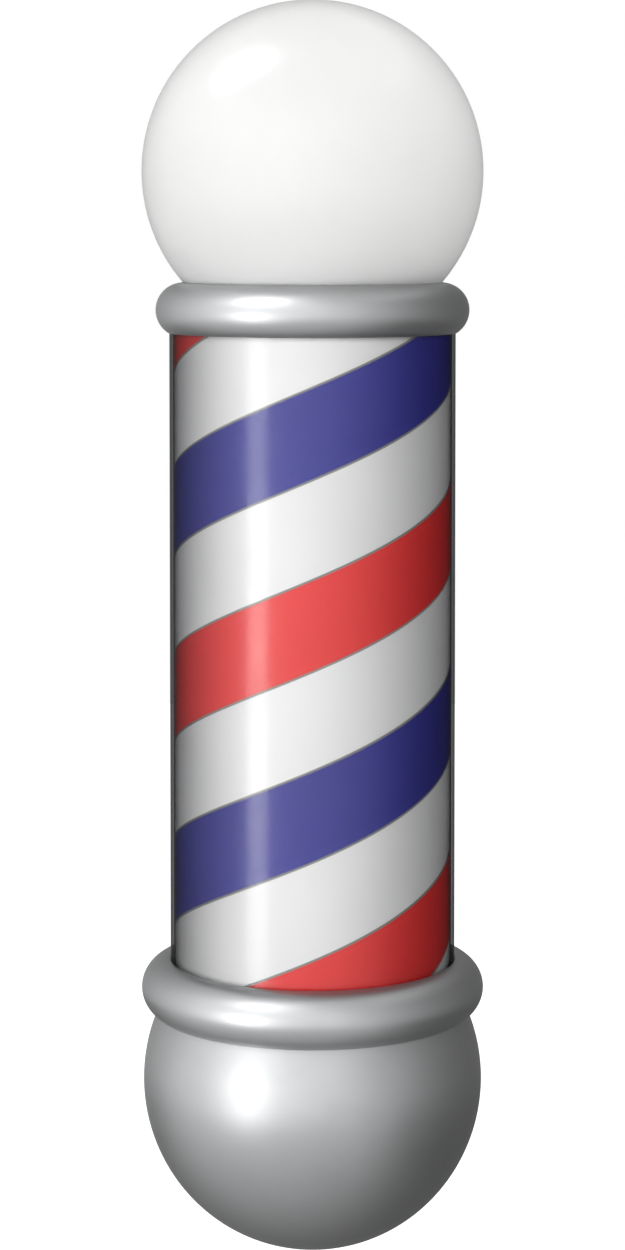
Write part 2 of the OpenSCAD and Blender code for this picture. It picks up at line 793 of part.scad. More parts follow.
// Film band that climbs with the angle and is cut off level at the drum's two ends
module stripe(phase) {
    z_min = drum_bottom + stripe_margin;
    z_max = drum_top - stripe_margin;
    blunt = 1;
    half = stripe_width / 2;
    a_start = front_angle + (z_min + blunt - half - phase) / stripe_lead * 360;
    a_end = front_angle + (z_max - blunt + half - phase) / stripe_lead * 360;
    steps = ceil((a_end - a_start) / stripe_step);
    sections = [
        for (i = [0:steps])
            let (a = a_start + (a_end - a_start) * i / steps)
            let (middle = phase + stripe_lead * (a - front_angle) / 360)
            stripe_section(a, max(z_min, middle - half), min(z_max, middle + half))
    ];
    points = [for (s = sections) for (p = s) p];
    faces = concat(
        [[0, 1, 2, 3]],
        [for (i = [0:steps - 1]) for (k = [0:3]) let (n = (k + 1) % 4) each [
            [4 * i + k, 4 * i + 4 + k, 4 * i + 4 + n],
            [4 * i + k, 4 * i + 4 + n, 4 * i + n]
        ]],
        [[4 * steps + 3, 4 * steps + 2, 4 * steps + 1, 4 * steps]]
    );
    polyhedron(points, faces);
}

module red_stripe() {
    color("crimson") at_pole() stripe(stripe_phase);
}

module blue_stripe() {
    color("midnightblue") at_pole() stripe(stripe_phase - stripe_lead / 2);
}

// Round openings between the spokes of a hub
module spoke_openings(z) {
    around(spokes, 30) translate([spoke_hole_c, 0, 0]) rod(spoke_hole_r, z - 1, z + hub_web_t + 1);
}

module lower_hub() {
    color("gainsboro") at_pole() difference() {
        union() {
            sleeve(drum_in_r - glue_gap, rim_in_r, drum_bottom + 1, drum_bottom + 1 + rim_h);
            rod(rim_in_r + eps, hub_web_z, hub_web_z + hub_web_t);
            rod(hub_boss_r, hub_boss_z, hub_boss_z + hub_boss_h);
        }
        rod(bush_r + glue_gap, hub_boss_z - 1, hub_boss_z + hub_boss_h + 1);
        spoke_openings(hub_web_z);
        around(gear_screw_count) translate([gear_screw_c, 0, 0]) rod(m3_r + thread_gap, hub_boss_z - 1, hub_boss_z + 7);
    }
}

module upper_hub() {
    color("gainsboro") at_pole() difference() {
        union() {
            sleeve(drum_in_r - glue_gap, rim_in_r, drum_top - 1 - rim_h, drum_top - 1);
            rod(rim_in_r + eps, upper_web_z, upper_web_z + hub_web_t);
            rod(bush_r + 5, upper_web_z - 6, upper_web_z + hub_web_t + 3);
        }
        rod(bush_r + glue_gap, upper_web_z - 7, upper_web_z + hub_web_t + 4);
        spoke_openings(upper_web_z);
    }
}

module lower_bush() {
    color("peru") at_pole() difference() {
        union() {
            rod(bush_flange_r, bush_z, gear_z);
            rod(bush_r, bush_z, hub_boss_z + hub_boss_h);
        }
        rod(centre_r + run_gap, bush_z - 1, hub_boss_z + hub_boss_h + 1);
    }
}

module upper_bush() {
    color("whitesmoke") at_pole()
        sleeve(bush_r, centre_r + run_gap, upper_web_z - 6, upper_web_z + hub_web_t + 3);
}

// U-shaped channel, its web against the wall and its lips facing the pole
module wall_channel() {
    half = channel_w / 2;
    color(zinc) difference() {
        translate([0, 0, -channel_end]) linear_extrude(2 * channel_end) polygon([
            [-half, -channel_d], [-half, -1.5], [-half + 1.5, 0], [half - 1.5, 0], [half, -1.5], [half, -channel_d],
            [half - channel_t, -channel_d], [half - channel_t, -channel_t],
            [-half + channel_t, -channel_t], [-half + channel_t, -channel_d]
        ]);
        for (x = [-1, 1]) for (z = [-1, 1])
            rod_y(fixing_r, x * fixing_x / 2, z * fixing_z / 2, -channel_t - 1, 1);
        rod_y(cable_r + grommet_lip, 0, lower_z, -channel_t - 1, 1);
        at_side_screws() rod(m5_r + thread_gap, -1, channel_t + 2);
    }
}

// Rubber grommet that lines the cable's way through the channel
module entry_grommet() {
    color("dimgray") translate([0, 0, lower_z]) rotate([90, 0, 0]) difference() {
        union() {
            cylinder(r = cable_r + grommet_lip - thread_gap, h = channel_t + grommet_lip);
            translate([0, 0, channel_t]) cylinder(r = cable_r + 2 * grommet_lip, h = grommet_lip);
        }
        translate([0, 0, -1]) cylinder(r = cable_r, h = channel_t + grommet_lip + 2);
    }
}

// Places of the screws through the arms' cheeks, with +Z pointing outwards from the channel's inner face
module at_side_screws() {
    for (z = [lower_z, upper_z]) for (side = [-1, 1])
        translate([side * (channel_w / 2 - channel_t), side_y, z]) rotate([0, side * 90, 0]) children();
}

module arm_side_screws() {
    shank = channel_t + slip + arm_wall;
    color(steel) at_side_screws() translate([0, 0, shank]) mirror([0, 0, 1])
        cap_screw(m5_r, shank, m5_head_r, 2.8);
}

// Half width of an arm, swelling smoothly from the pad to the fork
function arm_half(t) = pad_w / 2 + (fork_out - pad_w / 2) * (1 - cos(180 * t)) / 2;

// Cast arm: a hollow box behind the ring that opens to a fork over the wall channel
module arm(z) {
    flare = [for (i = [0:8]) [arm_half(i / 8), pad_y + 4 + (seat_y - pad_y - 6) * i / 8]];
    side = concat([[pad_w / 2, pad_y]], flare, [[fork_out, arm_back_y]]);
    outline = concat(side, [for (i = [len(side) - 1:-1:0]) [-side[i][0], side[i][1]]]);
    difference() {
        intersection() {
            translate([0, 0, z - arm_h / 2]) linear_extrude(arm_h) polygon(outline);
            translate([0, pad_y - 1, z]) rotate([-90, 0, 0]) linear_extrude(axis_off)
                polygon(rounded_points(2 * fork_out + 10, arm_h, 3));
        }
        translate([-fork_in, seat_y, z - arm_h]) cube([2 * fork_in, channel_d + 1, 2 * arm_h]);
        translate([-cavity_w / 2, cavity_y, z - cavity_h / 2]) cube([cavity_w, seat_y - cavity_y + 1, cavity_h]);
        for (x = [-bolt_x, bolt_x]) rod_y(m5_r + slip, x, z + bolt_rise, pad_y - 1, cavity_y + 1);
        for (side = [-1, 1]) translate([side * fork_in, side_y, z]) rotate([0, side * 90, 0])
            translate([0, 0, -1]) cylinder(r = m5_r + slip, h = arm_wall + 2);
    }
}

module upper_arm() {
    color(polished) arm(upper_z);
}

module lower_arm() {
    color(polished) difference() {
        arm(lower_z);
        rod_y(wire_r, 0, lower_z - wire_drop, pad_y - 1, cavity_y + 1);
        for (x = [-switch_x, switch_x])
            translate([x - switch_w / 2 - slip / 2, switch_y - switch_l / 2 - slip / 2, switch_floor - 1])
                cube([switch_w + slip, switch_l + slip, arm_wall + 2]);
    }
}

module arm_bolts() {
    color(steel) for (z = [lower_z, upper_z]) for (x = [-bolt_x, bolt_x])
        translate([x, cavity_y, z + bolt_rise]) rotate([90, 0, 0])
            cap_screw(m5_r, arm_front_t + bolt_depth - 2, m5_head_r, m5_head_h);
}

// Switch case pushed up through the arm's floor, with a pocket that the rocker swings in
module switch_case() {
    difference() {
        union() {
            translate([-bezel_w / 2, -bezel_l / 2, switch_floor - bezel_t]) cube([bezel_w, bezel_l, bezel_t]);
            translate([-switch_w / 2, -switch_l / 2, switch_floor - eps]) cube([switch_w, switch_l, switch_top + eps]);
        }
        translate([-rocker_w / 2 - slip, 0, rocker_z]) rotate([0, 90, 0])
            cylinder(r = rocker_pocket_r, h = rocker_w + 2 * slip);
        translate([-switch_w / 2 + 0.5, 0, rocker_z]) rotate([0, 90, 0])
            cylinder(r = rocker_pin_r + run_gap, h = switch_w - 1);
    }
}

module switch_bodies() {
    color("dimgray") for (x = [-switch_x, switch_x]) translate([x, switch_y, 0]) switch_case();
}

// Rocker with two raised ends and pivot pins, tipped to its off side
module rocker(x) {
    end = rocker_r * 0.95;
    translate([x, switch_y, rocker_z]) rotate([rocker_tilt, 0, 0]) {
        translate([-rocker_w / 2, 0, 0]) rotate([90, 0, 90]) linear_extrude(rocker_w)
            polygon([[-end, 0], [-end, -2.6], [0, -1.8], [end, -2.6], [end, 0], [2.5, 4], [-2.5, 4]]);
        translate([-switch_w / 2 + 0.8, 0, 0]) rotate([0, 90, 0]) cylinder(r = rocker_pin_r, h = switch_w - 1.6);
    }
}

module light_rocker() {
    color("ivory") rocker(-switch_x);
}

module drive_rocker() {
    color("ivory") rocker(switch_x);
}

wall_channel();
entry_grommet();
upper_arm();
lower_arm();
arm_side_screws();
arm_bolts();
upper_ring();
lower_ring();
outer_tube();
upper_gasket();
lower_gasket();
cap_plate();
cap_plate_screws();
base_plate();
base_plate_screws();
centre_tube();
tie_washers();
tie_nuts();
globe_fitter();
fitter_screws();
globe_gasket();
globe();
lamp_holder();
bulb();
bowl();
bowl_screws();
gear_motor();
motor_screws();
motor_shaft();
pinion();
pinion_grub_screw();
led_driver();
driver_screws();
terminal_block();
thrust_collar();
thrust_washer();
light_column();
led_strips();
led_chips();
column_collars();
drum_shell();
red_stripe();
blue_stripe();
lower_hub();
upper_hub();
lower_bush();
upper_bush();
drive_gear();
gear_screws();
switch_bodies();
light_rocker();
drive_rocker();
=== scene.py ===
"""Looks of a wall-hung barber pole: smooth turned pieces, finishes, light and camera.

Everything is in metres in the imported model's own frame: +Z up along the pole, the wall at y = 0, the front
facing -Y. Angles round the pole are degrees from +X, so the front is at -90.
"""

import json
import logging
import math
from dataclasses import dataclass
from enum import Enum

import bmesh
import bpy
import numpy as np
from mathutils import Euler, Matrix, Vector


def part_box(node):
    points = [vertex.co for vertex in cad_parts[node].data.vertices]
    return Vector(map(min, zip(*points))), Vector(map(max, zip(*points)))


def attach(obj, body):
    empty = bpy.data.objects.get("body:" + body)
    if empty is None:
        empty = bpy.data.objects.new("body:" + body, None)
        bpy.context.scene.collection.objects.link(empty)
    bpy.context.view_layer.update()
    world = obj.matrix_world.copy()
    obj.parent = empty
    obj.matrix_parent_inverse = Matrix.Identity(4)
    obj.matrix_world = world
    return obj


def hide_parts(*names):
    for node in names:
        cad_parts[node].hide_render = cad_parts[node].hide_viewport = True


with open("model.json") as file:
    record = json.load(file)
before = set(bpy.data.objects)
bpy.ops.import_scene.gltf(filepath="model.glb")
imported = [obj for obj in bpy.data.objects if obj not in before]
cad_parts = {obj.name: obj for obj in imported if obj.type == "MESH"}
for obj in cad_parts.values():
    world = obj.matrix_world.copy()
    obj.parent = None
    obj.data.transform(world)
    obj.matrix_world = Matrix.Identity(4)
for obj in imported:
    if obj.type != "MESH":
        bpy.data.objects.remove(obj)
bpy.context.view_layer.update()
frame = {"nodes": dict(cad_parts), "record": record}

log = logging.getLogger("barber_pole")

MM = 0.001
WHITE = "#ffffff"
SAME_POINT = 0.0005 * MM  # points closer than this are one
CREASE = math.radians(35)  # edges sharper than this are crisp
BEVEL_STEPS = 3
OUTER_STEPS = 128  # steps of the outside arc of the globe and of the bowl
INNER_STEPS = 96  # steps of their inside arcs, and of a ring's bead
SLIP = 0.3 * MM  # play of a piece that slides into another
SEAT_GAP = 0.5 * MM  # play between a ring and the globe or bowl that sits in it
PAD_GAP = 0.5 * MM  # how far behind the tube's pocket a rear pad starts
FILM_WIDTH = 53.5 * MM
NOISE_LOW, NOISE_HIGH = 0.3, 0.7  # where most of a noise's values lie
GLOSS_CLOUD = 1.7  # how much wider the clouds in a gloss are than those in its colour
Point = tuple[float, float]


def to_linear(hex_colour: str) -> tuple[float, float, float, float]:
    """Turn an sRGB hex colour to linear light.

    A share s of the full level becomes s / 12.92 up to 0.04045, and ((s + 0.055) / 1.055)^2.4 above that.

    Args:
        hex_colour: Six hex digits, such as "#e42828".

    Returns:
        Linear red, green and blue, and an alpha of 1.
    """
    shares = [int(hex_colour[i:i + 2], 16) / 255 for i in (1, 3, 5)]
    red, green, blue = (s / 12.92 if s <= 0.04045 else ((s + 0.055) / 1.055) ** 2.4 for s in shares)
    return red, green, blue, 1.0


def add_node(
    tree: bpy.types.NodeTree, kind: str, inputs: dict | None = None, **settings: object
) -> bpy.types.Node:
    """Add a node with its settings, its values and its links.

    Args:
        tree: The node tree that gets the node.
        kind: Blender's name for the node's type.
        inputs: A value, or another node's output socket, for each input by name or number.
        settings: Properties of the node itself.

    Returns:
        The new node.
    """
    node = tree.nodes.new(kind)
    for name, value in settings.items():
        setattr(node, name, value)
    for socket, value in (inputs or {}).items():
        if isinstance(value, bpy.types.NodeSocket):
            tree.links.new(value, node.inputs[socket])
        else:
            node.inputs[socket].default_value = value
    return node


def cleared_tree(owner: bpy.types.Material | bpy.types.World) -> bpy.types.NodeTree:
    """Turn on the nodes of a new material or world, and clear them away.

    Args:
        owner: The material or world.

    Returns:
        Its empty node tree.
    """
    owner.use_nodes = True
    owner.node_tree.nodes.clear()
    return owner.node_tree


@dataclass(frozen=True)
class Box:
    """A CAD node's box at rest."""

    low: np.ndarray
    high: np.ndarray

    @classmethod
    def of(cls, node: str) -> "Box":
        """Box of one CAD node."""
        low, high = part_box(node)
        return cls(np.array(low), np.array(high))

    @property
    def radius(self) -> float:
        """Half the width."""
        return float(self.high[0] - self.low[0]) / 2

    @property
    def middle(self) -> np.ndarray:
        """Middle point."""
        return (self.low + self.high) / 2


AXIS_Y = float(Box.of("outer_tube").middle[1])


# Meshes


def arc(centre: Point, radius: float, start: float, end: float, steps: int) -> np.ndarray:
    """Points of an arc in a profile: the centre plus the radius times (cos a, sin a).

    Args:
        centre: Distance from the axis and height of the arc's centre.
        radius: Radius of the arc.
        start: First angle in degrees.
        end: Last angle in degrees.
        steps: Steps between the two.

    Returns:
        One row of (distance from the axis, height) a point.
    """
    angle = np.radians(np.linspace(start, end, steps + 1))
    return np.column_stack([centre[0] + radius * np.cos(angle), centre[1] + radius * np.sin(angle)])


def circles_meet(a: Point, radius_a: float, b: Point, radius_b: float) -> Point:
    """Outer one of the two points where two circles of a profile meet.

    The chord's foot lies on the line of centres at (d^2 + ra^2 - rb^2) / 2d from the first centre, and the
    two points stand half a chord off it to either side.

    Args:
        a: Centre of the first circle.
        radius_a: Its radius.
        b: Centre of the second circle.
        radius_b: Its radius.

    Returns:
        The meeting point that is further from the axis.
    """
    gap = math.dist(a, b)
    along = (gap ** 2 + radius_a ** 2 - radius_b ** 2) / (2 * gap)
    half_chord = math.sqrt(radius_a ** 2 - along ** 2)
    unit = ((b[0] - a[0]) / gap, (b[1] - a[1]) / gap)
    foot = (a[0] + along * unit[0], a[1] + along * unit[1])
    ends = [
        (foot[0] - side * half_chord * unit[1], foot[1] + side * half_chord * unit[0]) for side in (-1, 1)
    ]
    return max(ends)


def angle_to(centre: Point, point: Point) -> float:
    """Angle in degrees at which a point is seen from a centre: the arc tangent of rise over run."""
    return math.degrees(math.atan2(point[1] - centre[1], point[0] - centre[0]))


def wall_section(radius: float, wall: float, low_z: float, high_z: float) -> np.ndarray:
    """Profile of a straight tube's wall: a rectangle from its inside to its outside.

    Args:
        radius: Outer radius.
        wall: Thickness.
        low_z: Height of the lower end.
        high_z: Height of the upper end.

    Returns:
        One row of (distance from the axis, height) a corner.
    """
    inside = radius - wall
    return np.array([(inside, low_z), (radius, low_z), (radius, high_z), (inside, high_z)])


def piece_from(name: str, points: np.ndarray, faces: list[list[int]]) -> bpy.types.Object:
    """Put points and faces into a new smooth-shaded object, and merge the points that fall together.

    Args:
        name: Name of the piece.
        points: One row of x, y and z a point.
        faces: The numbers of each face's points.

    Returns:
        The new object, with its place in its mesh.
    """
    mesh = bpy.data.meshes.new(name)
    mesh.from_pydata(points, [], faces)
    work = bmesh.new()
    work.from_mesh(mesh)
    bmesh.ops.remove_doubles(work, verts=work.verts, dist=SAME_POINT)
    work.to_mesh(mesh)
    work.free()
    mesh.shade_smooth()
    piece = bpy.data.objects.new(name, mesh)
    bpy.context.scene.collection.objects.link(piece)
    return piece


def swept(name: str, grid: np.ndarray, closed: bool) -> bpy.types.Object:
    """Make a mesh from closed sections that stand one after another.

    Quad (i, j) joins point j and j + 1 of section i to those of section i + 1. Sections that run
    anticlockwise, seen with the axis on the left, give faces that point outwards. Points that fall together,
    such as those on the axis, are merged, so poles and seams are closed.

    Args:
        name: Name of the piece.
        grid: Points as (section, point, xyz).
        closed: True if the last section joins the first, False if both ends get a cap.

    Returns:
        The new object.
    """
    sections, points = grid.shape[:2]
    first = np.arange(sections if closed else sections - 1)[:, None]
    step = np.arange(points)[None, :]
    after, beside = (first + 1) % sections, (step + 1) % points
    quads = np.stack([
        first * points + step, after * points + step, after * points + beside, first * points + beside
    ], axis=-1).reshape(-1, 4)
    faces = quads.tolist()
    if not closed:
        faces += [list(range(points)), list(range(sections * points - 1, (sections - 1) * points - 1, -1))]
    return piece_from(name, grid.reshape(-1, 3), faces)


def turned(
    name: str, profile: np.ndarray, segments: int = 256, start: float = 0.0, sweep: float = 360.0
) -> bpy.types.Object:
    """Turn a closed profile round the pole's axis: x = r cos a, y = axis + r sin a, z = height.

    Args:
        name: Name of the piece.
        profile: Closed outline, one row of (distance from the axis, height) a point.
        segments: Steps round the sweep.
        start: First angle in degrees.
        sweep: Angle that the profile is carried through, 360 for a whole turn.

    Returns:
        The new object.
    """
    r, z = profile.T
    ahead = np.roll(profile, -1, axis=0)
    if np.sum(r * ahead[:, 1] - ahead[:, 0] * z) < 0:
        r, z = r[::-1], z[::-1]
    closed = sweep == 360.0
    angle = np.radians(start + np.linspace(0, sweep, segments + 1))[:segments + (0 if closed else 1), None]
    grid = np.stack(np.broadcast_arrays(r * np.cos(angle), AXIS_Y + r * np.sin(angle), z), axis=-1)
    return swept(name, grid, closed)


def softened(piece: bpy.types.Object, width: float) -> bpy.types.Object:
    """Round off a piece's crisp edges with a small bevel.

    Args:
        piece: The piece.
        width: Width of the bevel.

    Returns:
        The same piece.
    """
    bevel = piece.modifiers.new("edge", "BEVEL")
    bevel.limit_method = "ANGLE"
    bevel.angle_limit = CREASE
    bevel.width = width
    bevel.segments = BEVEL_STEPS
    bevel.harden_normals = True
    return piece


def creased(piece: bpy.types.Object) -> bpy.types.Object:
    """Keep a piece's crisp edges crisp in shading."""
    piece.data.set_sharp_from_angle(angle=CREASE)
    return piece


def rounded_outline(width: float, height: float, corner: float, steps: int = 8) -> np.ndarray:
    """Outline of a rectangle with round corners, anticlockwise: four quarter arcs one after another.

    Args:
        width: Size along X.
        height: Size along Z.
        corner: Radius of the corners.
        steps: Steps of each corner.

    Returns:
        One row of (x, z) a point, round the rectangle's middle.
    """
    x, z = width / 2 - corner, height / 2 - corner
    quarters = [((x, z), 0), ((-x, z), 90), ((-x, -z), 180), ((x, -z), 270)]
    return np.vstack([arc(middle, corner, turn, turn + 90, steps) for middle, turn in quarters])


def cut_from(piece: bpy.types.Object, cutter: bpy.types.Object) -> bpy.types.Object:
    """Take a closed cutter out of a closed piece, and delete the cutter.

    Args:
        piece: The piece.
        cutter: What is cut away.

    Returns:
        The same piece, with the cut in its mesh.
    """
    cut = piece.modifiers.new("cut", "BOOLEAN")
    cut.operation = "DIFFERENCE"
    cut.solver = "EXACT"
    cut.object = cutter
    view = bpy.context.evaluated_depsgraph_get()
    result = bpy.data.meshes.new_from_object(piece.evaluated_get(view))
    piece.modifiers.clear()
    piece.data = result
    bpy.data.objects.remove(cutter)
    return piece


# Finishes


class Film(Enum):
    """Colours of the two stripe films."""

    RED = "#f32020"
    BLUE = "#202094"


@dataclass(frozen=True)
class Finish:
    """A plain moulded, machined or coated surface: a colour that drifts a little, a grain and a gloss.

    Sizes are in millimetres. The render shows nothing finer than about 0.7 mm, so a grain, ring or scratch
    that is finer in truth is drawn as coarse as it needs to be to show.
    """

    name: str
    colour: str
    shade: str
    roughness: float
    metallic: float = 0.0
    ior: float = 1.5
    grain_mm: float = 1.2
    drift_mm: float = 18.0
    bump_mm: float = 0.02
    rough_swing: float = 0.06

    def material(self) -> bpy.types.Material:
        """Make the material with its node tree.

        Returns:
            The new material.
        """
        made = bpy.data.materials.new(self.name)
        tree = cleared_tree(made)
        add_node(tree, "ShaderNodeOutputMaterial", {"Surface": self.surface(tree)})
        return made

    def place(self, tree: bpy.types.NodeTree) -> bpy.types.NodeSocket:
        """Object coordinates, moved so that the pole's axis is at x = y = 0."""
        coords = add_node(tree, "ShaderNodeTexCoord").outputs["Object"]
        return add_node(tree, "ShaderNodeMapping", {"Vector": coords, "Location": (0, -AXIS_Y, 0)}).outputs[0]

    def clouds(
        self, tree: bpy.types.NodeTree, place: bpy.types.NodeSocket, size_mm: float, detail: float = 3.0
    ) -> bpy.types.NodeSocket:
        """Cloudy pattern from 0 to 1.

        Args:
            tree: Node tree of the material.
            place: Coordinates that the pattern follows.
            size_mm: How wide its clouds are, about.
            detail: How many times finer clouds are laid over them.

        Returns:
            The pattern.
        """
        return add_node(tree, "ShaderNodeTexNoise", {
            "Vector": place, "Scale": 1 / (size_mm * MM), "Detail": detail
        }).outputs["Fac"]

    def between(
        self, tree: bpy.types.NodeTree, share: bpy.types.NodeSocket, low: float, high: float
    ) -> bpy.types.NodeSocket:
        """Bring the useful middle of a cloudy pattern to a range of values, in a straight line.

        Args:
            tree: Node tree of the material.
            share: The pattern.
            low: Value at the lower end of its middle.
            high: Value at the upper end.

        Returns:
            The value, held within the two.
        """
        return add_node(tree, "ShaderNodeMapRange", {
            "Value": share, "From Min": NOISE_LOW, "From Max": NOISE_HIGH, "To Min": low, "To Max": high
        }).outputs["Result"]

    def dulled(self, tree: bpy.types.NodeTree, pattern: bpy.types.NodeSocket) -> bpy.types.NodeSocket:
        """Roughness that follows a pattern, as far above the finish's own as below it."""
        low, high = self.roughness - self.rough_swing, self.roughness + self.rough_swing
        return self.between(tree, pattern, low, high)

    def tint(self, tree: bpy.types.NodeTree, place: bpy.types.NodeSocket) -> bpy.types.NodeSocket:
        """Colour that drifts between the two given ones: colour + cloud * (shade - colour).

        Args:
            tree: Node tree of the material.
            place: Coordinates that the drift follows.

        Returns:
            The colour.
        """
        share = self.between(tree, self.clouds(tree, place, self.drift_mm), 0.0, 1.0)
        return add_node(tree, "ShaderNodeMix", {
            "Factor": share, "A": to_linear(self.colour), "B": to_linear(self.shade)
        }, data_type="RGBA").outputs["Result"]

    def relief(self, tree: bpy.types.NodeTree, place: bpy.types.NodeSocket) -> bpy.types.NodeSocket:
        """Fine grain as a bump.

        Args:
            tree: Node tree of the material.
            place: Coordinates that the grain follows.

        Returns:
            The surface's direction.
        """
        grain = self.clouds(tree, place, self.grain_mm)
        return add_node(tree, "ShaderNodeBump", {
            "Height": grain, "Distance": self.bump_mm * MM, "Strength": 1.0
        }).outputs["Normal"]

    def surface(self, tree: bpy.types.NodeTree) -> bpy.types.NodeSocket:
        """Shader of the finish.

        Args:
            tree: Node tree of the material.

        Returns:
            The shader's output.
        """
        place = self.place(tree)
        roughness = self.dulled(tree, self.clouds(tree, place, self.drift_mm * GLOSS_CLOUD))
        return add_node(tree, "ShaderNodeBsdfPrincipled", {
            "Base Color": self.tint(tree, place), "Roughness": roughness, "Metallic": self.metallic,
            "IOR": self.ior, "Normal": self.relief(tree, place)
        }).outputs[0]


@dataclass(frozen=True)
class SpunMetal(Finish):
    """Spun and polished aluminium: faint rings from the lathe, a few hair scratches and soft wipe marks."""

    ring_mm: float = 1.6
    scratch_mm: float = 0.9
    scratch_turn: tuple[float, float, float] = (0.5, 0.3, 0.2)
    scratch_stretch: tuple[float, float, float] = (1.0, 0.05, 0.4)
    scratch_depth: float = 0.4
    wipe_share: float = 0.75

    def surface(self, tree: bpy.types.NodeTree) -> bpy.types.NodeSocket:
        """Shader whose rings follow the distance from the axis and the height.

        The roughness follows wipe_share * wipes + (1 - wipe_share) * rings.

        Args:
            tree: Node tree of the material.

        Returns:
            The shader's output.
        """
        place = self.place(tree)
        apart = add_node(tree, "ShaderNodeSeparateXYZ", {"Vector": place})
        flat = add_node(tree, "ShaderNodeCombineXYZ", {"X": apart.outputs["X"], "Y": apart.outputs["Y"]})
        reach = add_node(tree, "ShaderNodeVectorMath", {
            0: flat.outputs[0]
        }, operation="LENGTH").outputs["Value"]
        section = add_node(tree, "ShaderNodeCombineXYZ", {"X": reach, "Y": apart.outputs["Z"]}).outputs[0]
        rings = self.clouds(tree, section, self.ring_mm, 2.0)
        wipes = self.clouds(tree, place, self.drift_mm, 4.0)
        streaks = add_node(tree, "ShaderNodeMapping", {
            "Vector": place, "Rotation": self.scratch_turn, "Scale": self.scratch_stretch
        }).outputs[0]
        scratches = self.clouds(tree, streaks, self.scratch_mm, 1.0)
        wiped = add_node(tree, "ShaderNodeMath", {
            0: wipes, 1: self.wipe_share, 2: 0.0
        }, operation="MULTIPLY_ADD").outputs[0]
        marks = add_node(tree, "ShaderNodeMath", {
            0: rings, 1: 1 - self.wipe_share, 2: wiped
        }, operation="MULTIPLY_ADD").outputs[0]
        lathe = add_node(tree, "ShaderNodeBump", {
            "Height": rings, "Distance": self.bump_mm * MM, "Strength": 1.0
        }).outputs["Normal"]
        hair = add_node(tree, "ShaderNodeBump", {
            "Height": scratches, "Distance": self.bump_mm * self.scratch_depth * MM, "Strength": 1.0,
            "Normal": lathe
        }).outputs["Normal"]
        return add_node(tree, "ShaderNodeBsdfPrincipled", {
            "Base Color": self.tint(tree, place), "Roughness": self.dulled(tree, marks), "Metallic": 1.0,
            "Normal": hair
        }).outputs[0]


@dataclass(frozen=True)
class ClearAcrylic(Finish):
    """Cast clear acrylic: sharp to look through, with a soft streak where it mirrors a lamp.

    Facing goes from 0, where the wall is seen straight on, to 1, where it is seen edge on. The share that
    mirrors is low + (high - low) * facing^power. What is seen through the wall takes its colour, and with
    facing^slant_shade_power the painted slant shade. From rim_shade_from to rim_shade_to it turns smoothly to
    the rim's. Both darken what is seen through the tube towards its sides. A little of this is the real
    darkening of a clear wall seen edge on, and most of it is painted shade that stands in for the drum's
    rounding.
    """

    # painted shade: the slanted and rim colours darken what is seen through the wall towards the tube's sides
    painted_slant_shade: str = "#767779"
    slant_shade_power: float = 1.5
    rim: str = "#7d7e80"
    rim_shade_from: float = 0.70
    rim_shade_to: float = 0.88
    mirror_low: float = 0.022
    mirror_high: float = 0.6
    mirror_power: float = 14.0

    def surface(self, tree: bpy.types.NodeTree) -> bpy.types.NodeSocket:
        """Mix of see-through and mirror by the angle of view, the same from either side of the wall.

        Args:
            tree: Node tree of the material.

        Returns:
            The shader's output.
        """
        cloud = self.clouds(tree, self.place(tree), self.drift_mm)
        facing = add_node(tree, "ShaderNodeLayerWeight", {"Blend": 0.5}).outputs["Facing"]
        steep = add_node(tree, "ShaderNodeMath", {
            0: facing, 1: self.mirror_power
        }, operation="POWER").outputs[0]
        mirror = add_node(tree, "ShaderNodeMath", {
            0: steep, 1: self.mirror_high - self.mirror_low, 2: self.mirror_low
        }, operation="MULTIPLY_ADD").outputs[0]
        # painted shade: what is seen through the wall darkens with the angle of view, towards the tube's
        # sides
        edge = add_node(tree, "ShaderNodeMapRange", {
            "Value": facing, "From Min": self.rim_shade_from, "From Max": self.rim_shade_to
        }, interpolation_type="SMOOTHSTEP").outputs["Result"]
        slant = add_node(tree, "ShaderNodeMath", {
            0: facing, 1: self.slant_shade_power
        }, operation="POWER").outputs[0]
        wall = add_node(tree, "ShaderNodeMix", {
            "Factor": slant, "A": to_linear(self.colour), "B": to_linear(self.painted_slant_shade)
        }, data_type="RGBA").outputs["Result"]
        colour = add_node(tree, "ShaderNodeMix", {
            "Factor": edge, "A": wall, "B": to_linear(self.rim)
        }, data_type="RGBA").outputs["Result"]
        through = add_node(tree, "ShaderNodeBsdfTransparent", {"Color": colour}).outputs[0]
        gloss = add_node(tree, "ShaderNodeBsdfAnisotropic", {
            "Color": to_linear(self.shade), "Roughness": self.dulled(tree, cloud)
        }).outputs[0]
        return add_node(tree, "ShaderNodeMixShader", {0: mirror, 1: through, 2: gloss}).outputs[0]


@dataclass(frozen=True)
class OpalGlass(Finish):
    """Blown opal glass: milky white that softens its own shadow, under a clear gloss."""

    depth_mm: float = 8.0
    milk: float = 0.5

    def surface(self, tree: bpy.types.NodeTree) -> bpy.types.NodeSocket:
        """Milky shader with a polished skin.

        Args:
            tree: Node tree of the material.

        Returns:
            The shader's output.
        """
        place = self.place(tree)
        roughness = self.dulled(tree, self.clouds(tree, place, self.drift_mm))
        return add_node(tree, "ShaderNodeBsdfPrincipled", {
            "Base Color": self.tint(tree, place), "Roughness": roughness, "IOR": self.ior,
            "Subsurface Weight": self.milk, "Subsurface Radius": (1.0, 1.0, 1.0),
            "Subsurface Scale": self.depth_mm * MM, "Normal": self.relief(tree, place)
        }).outputs[0]


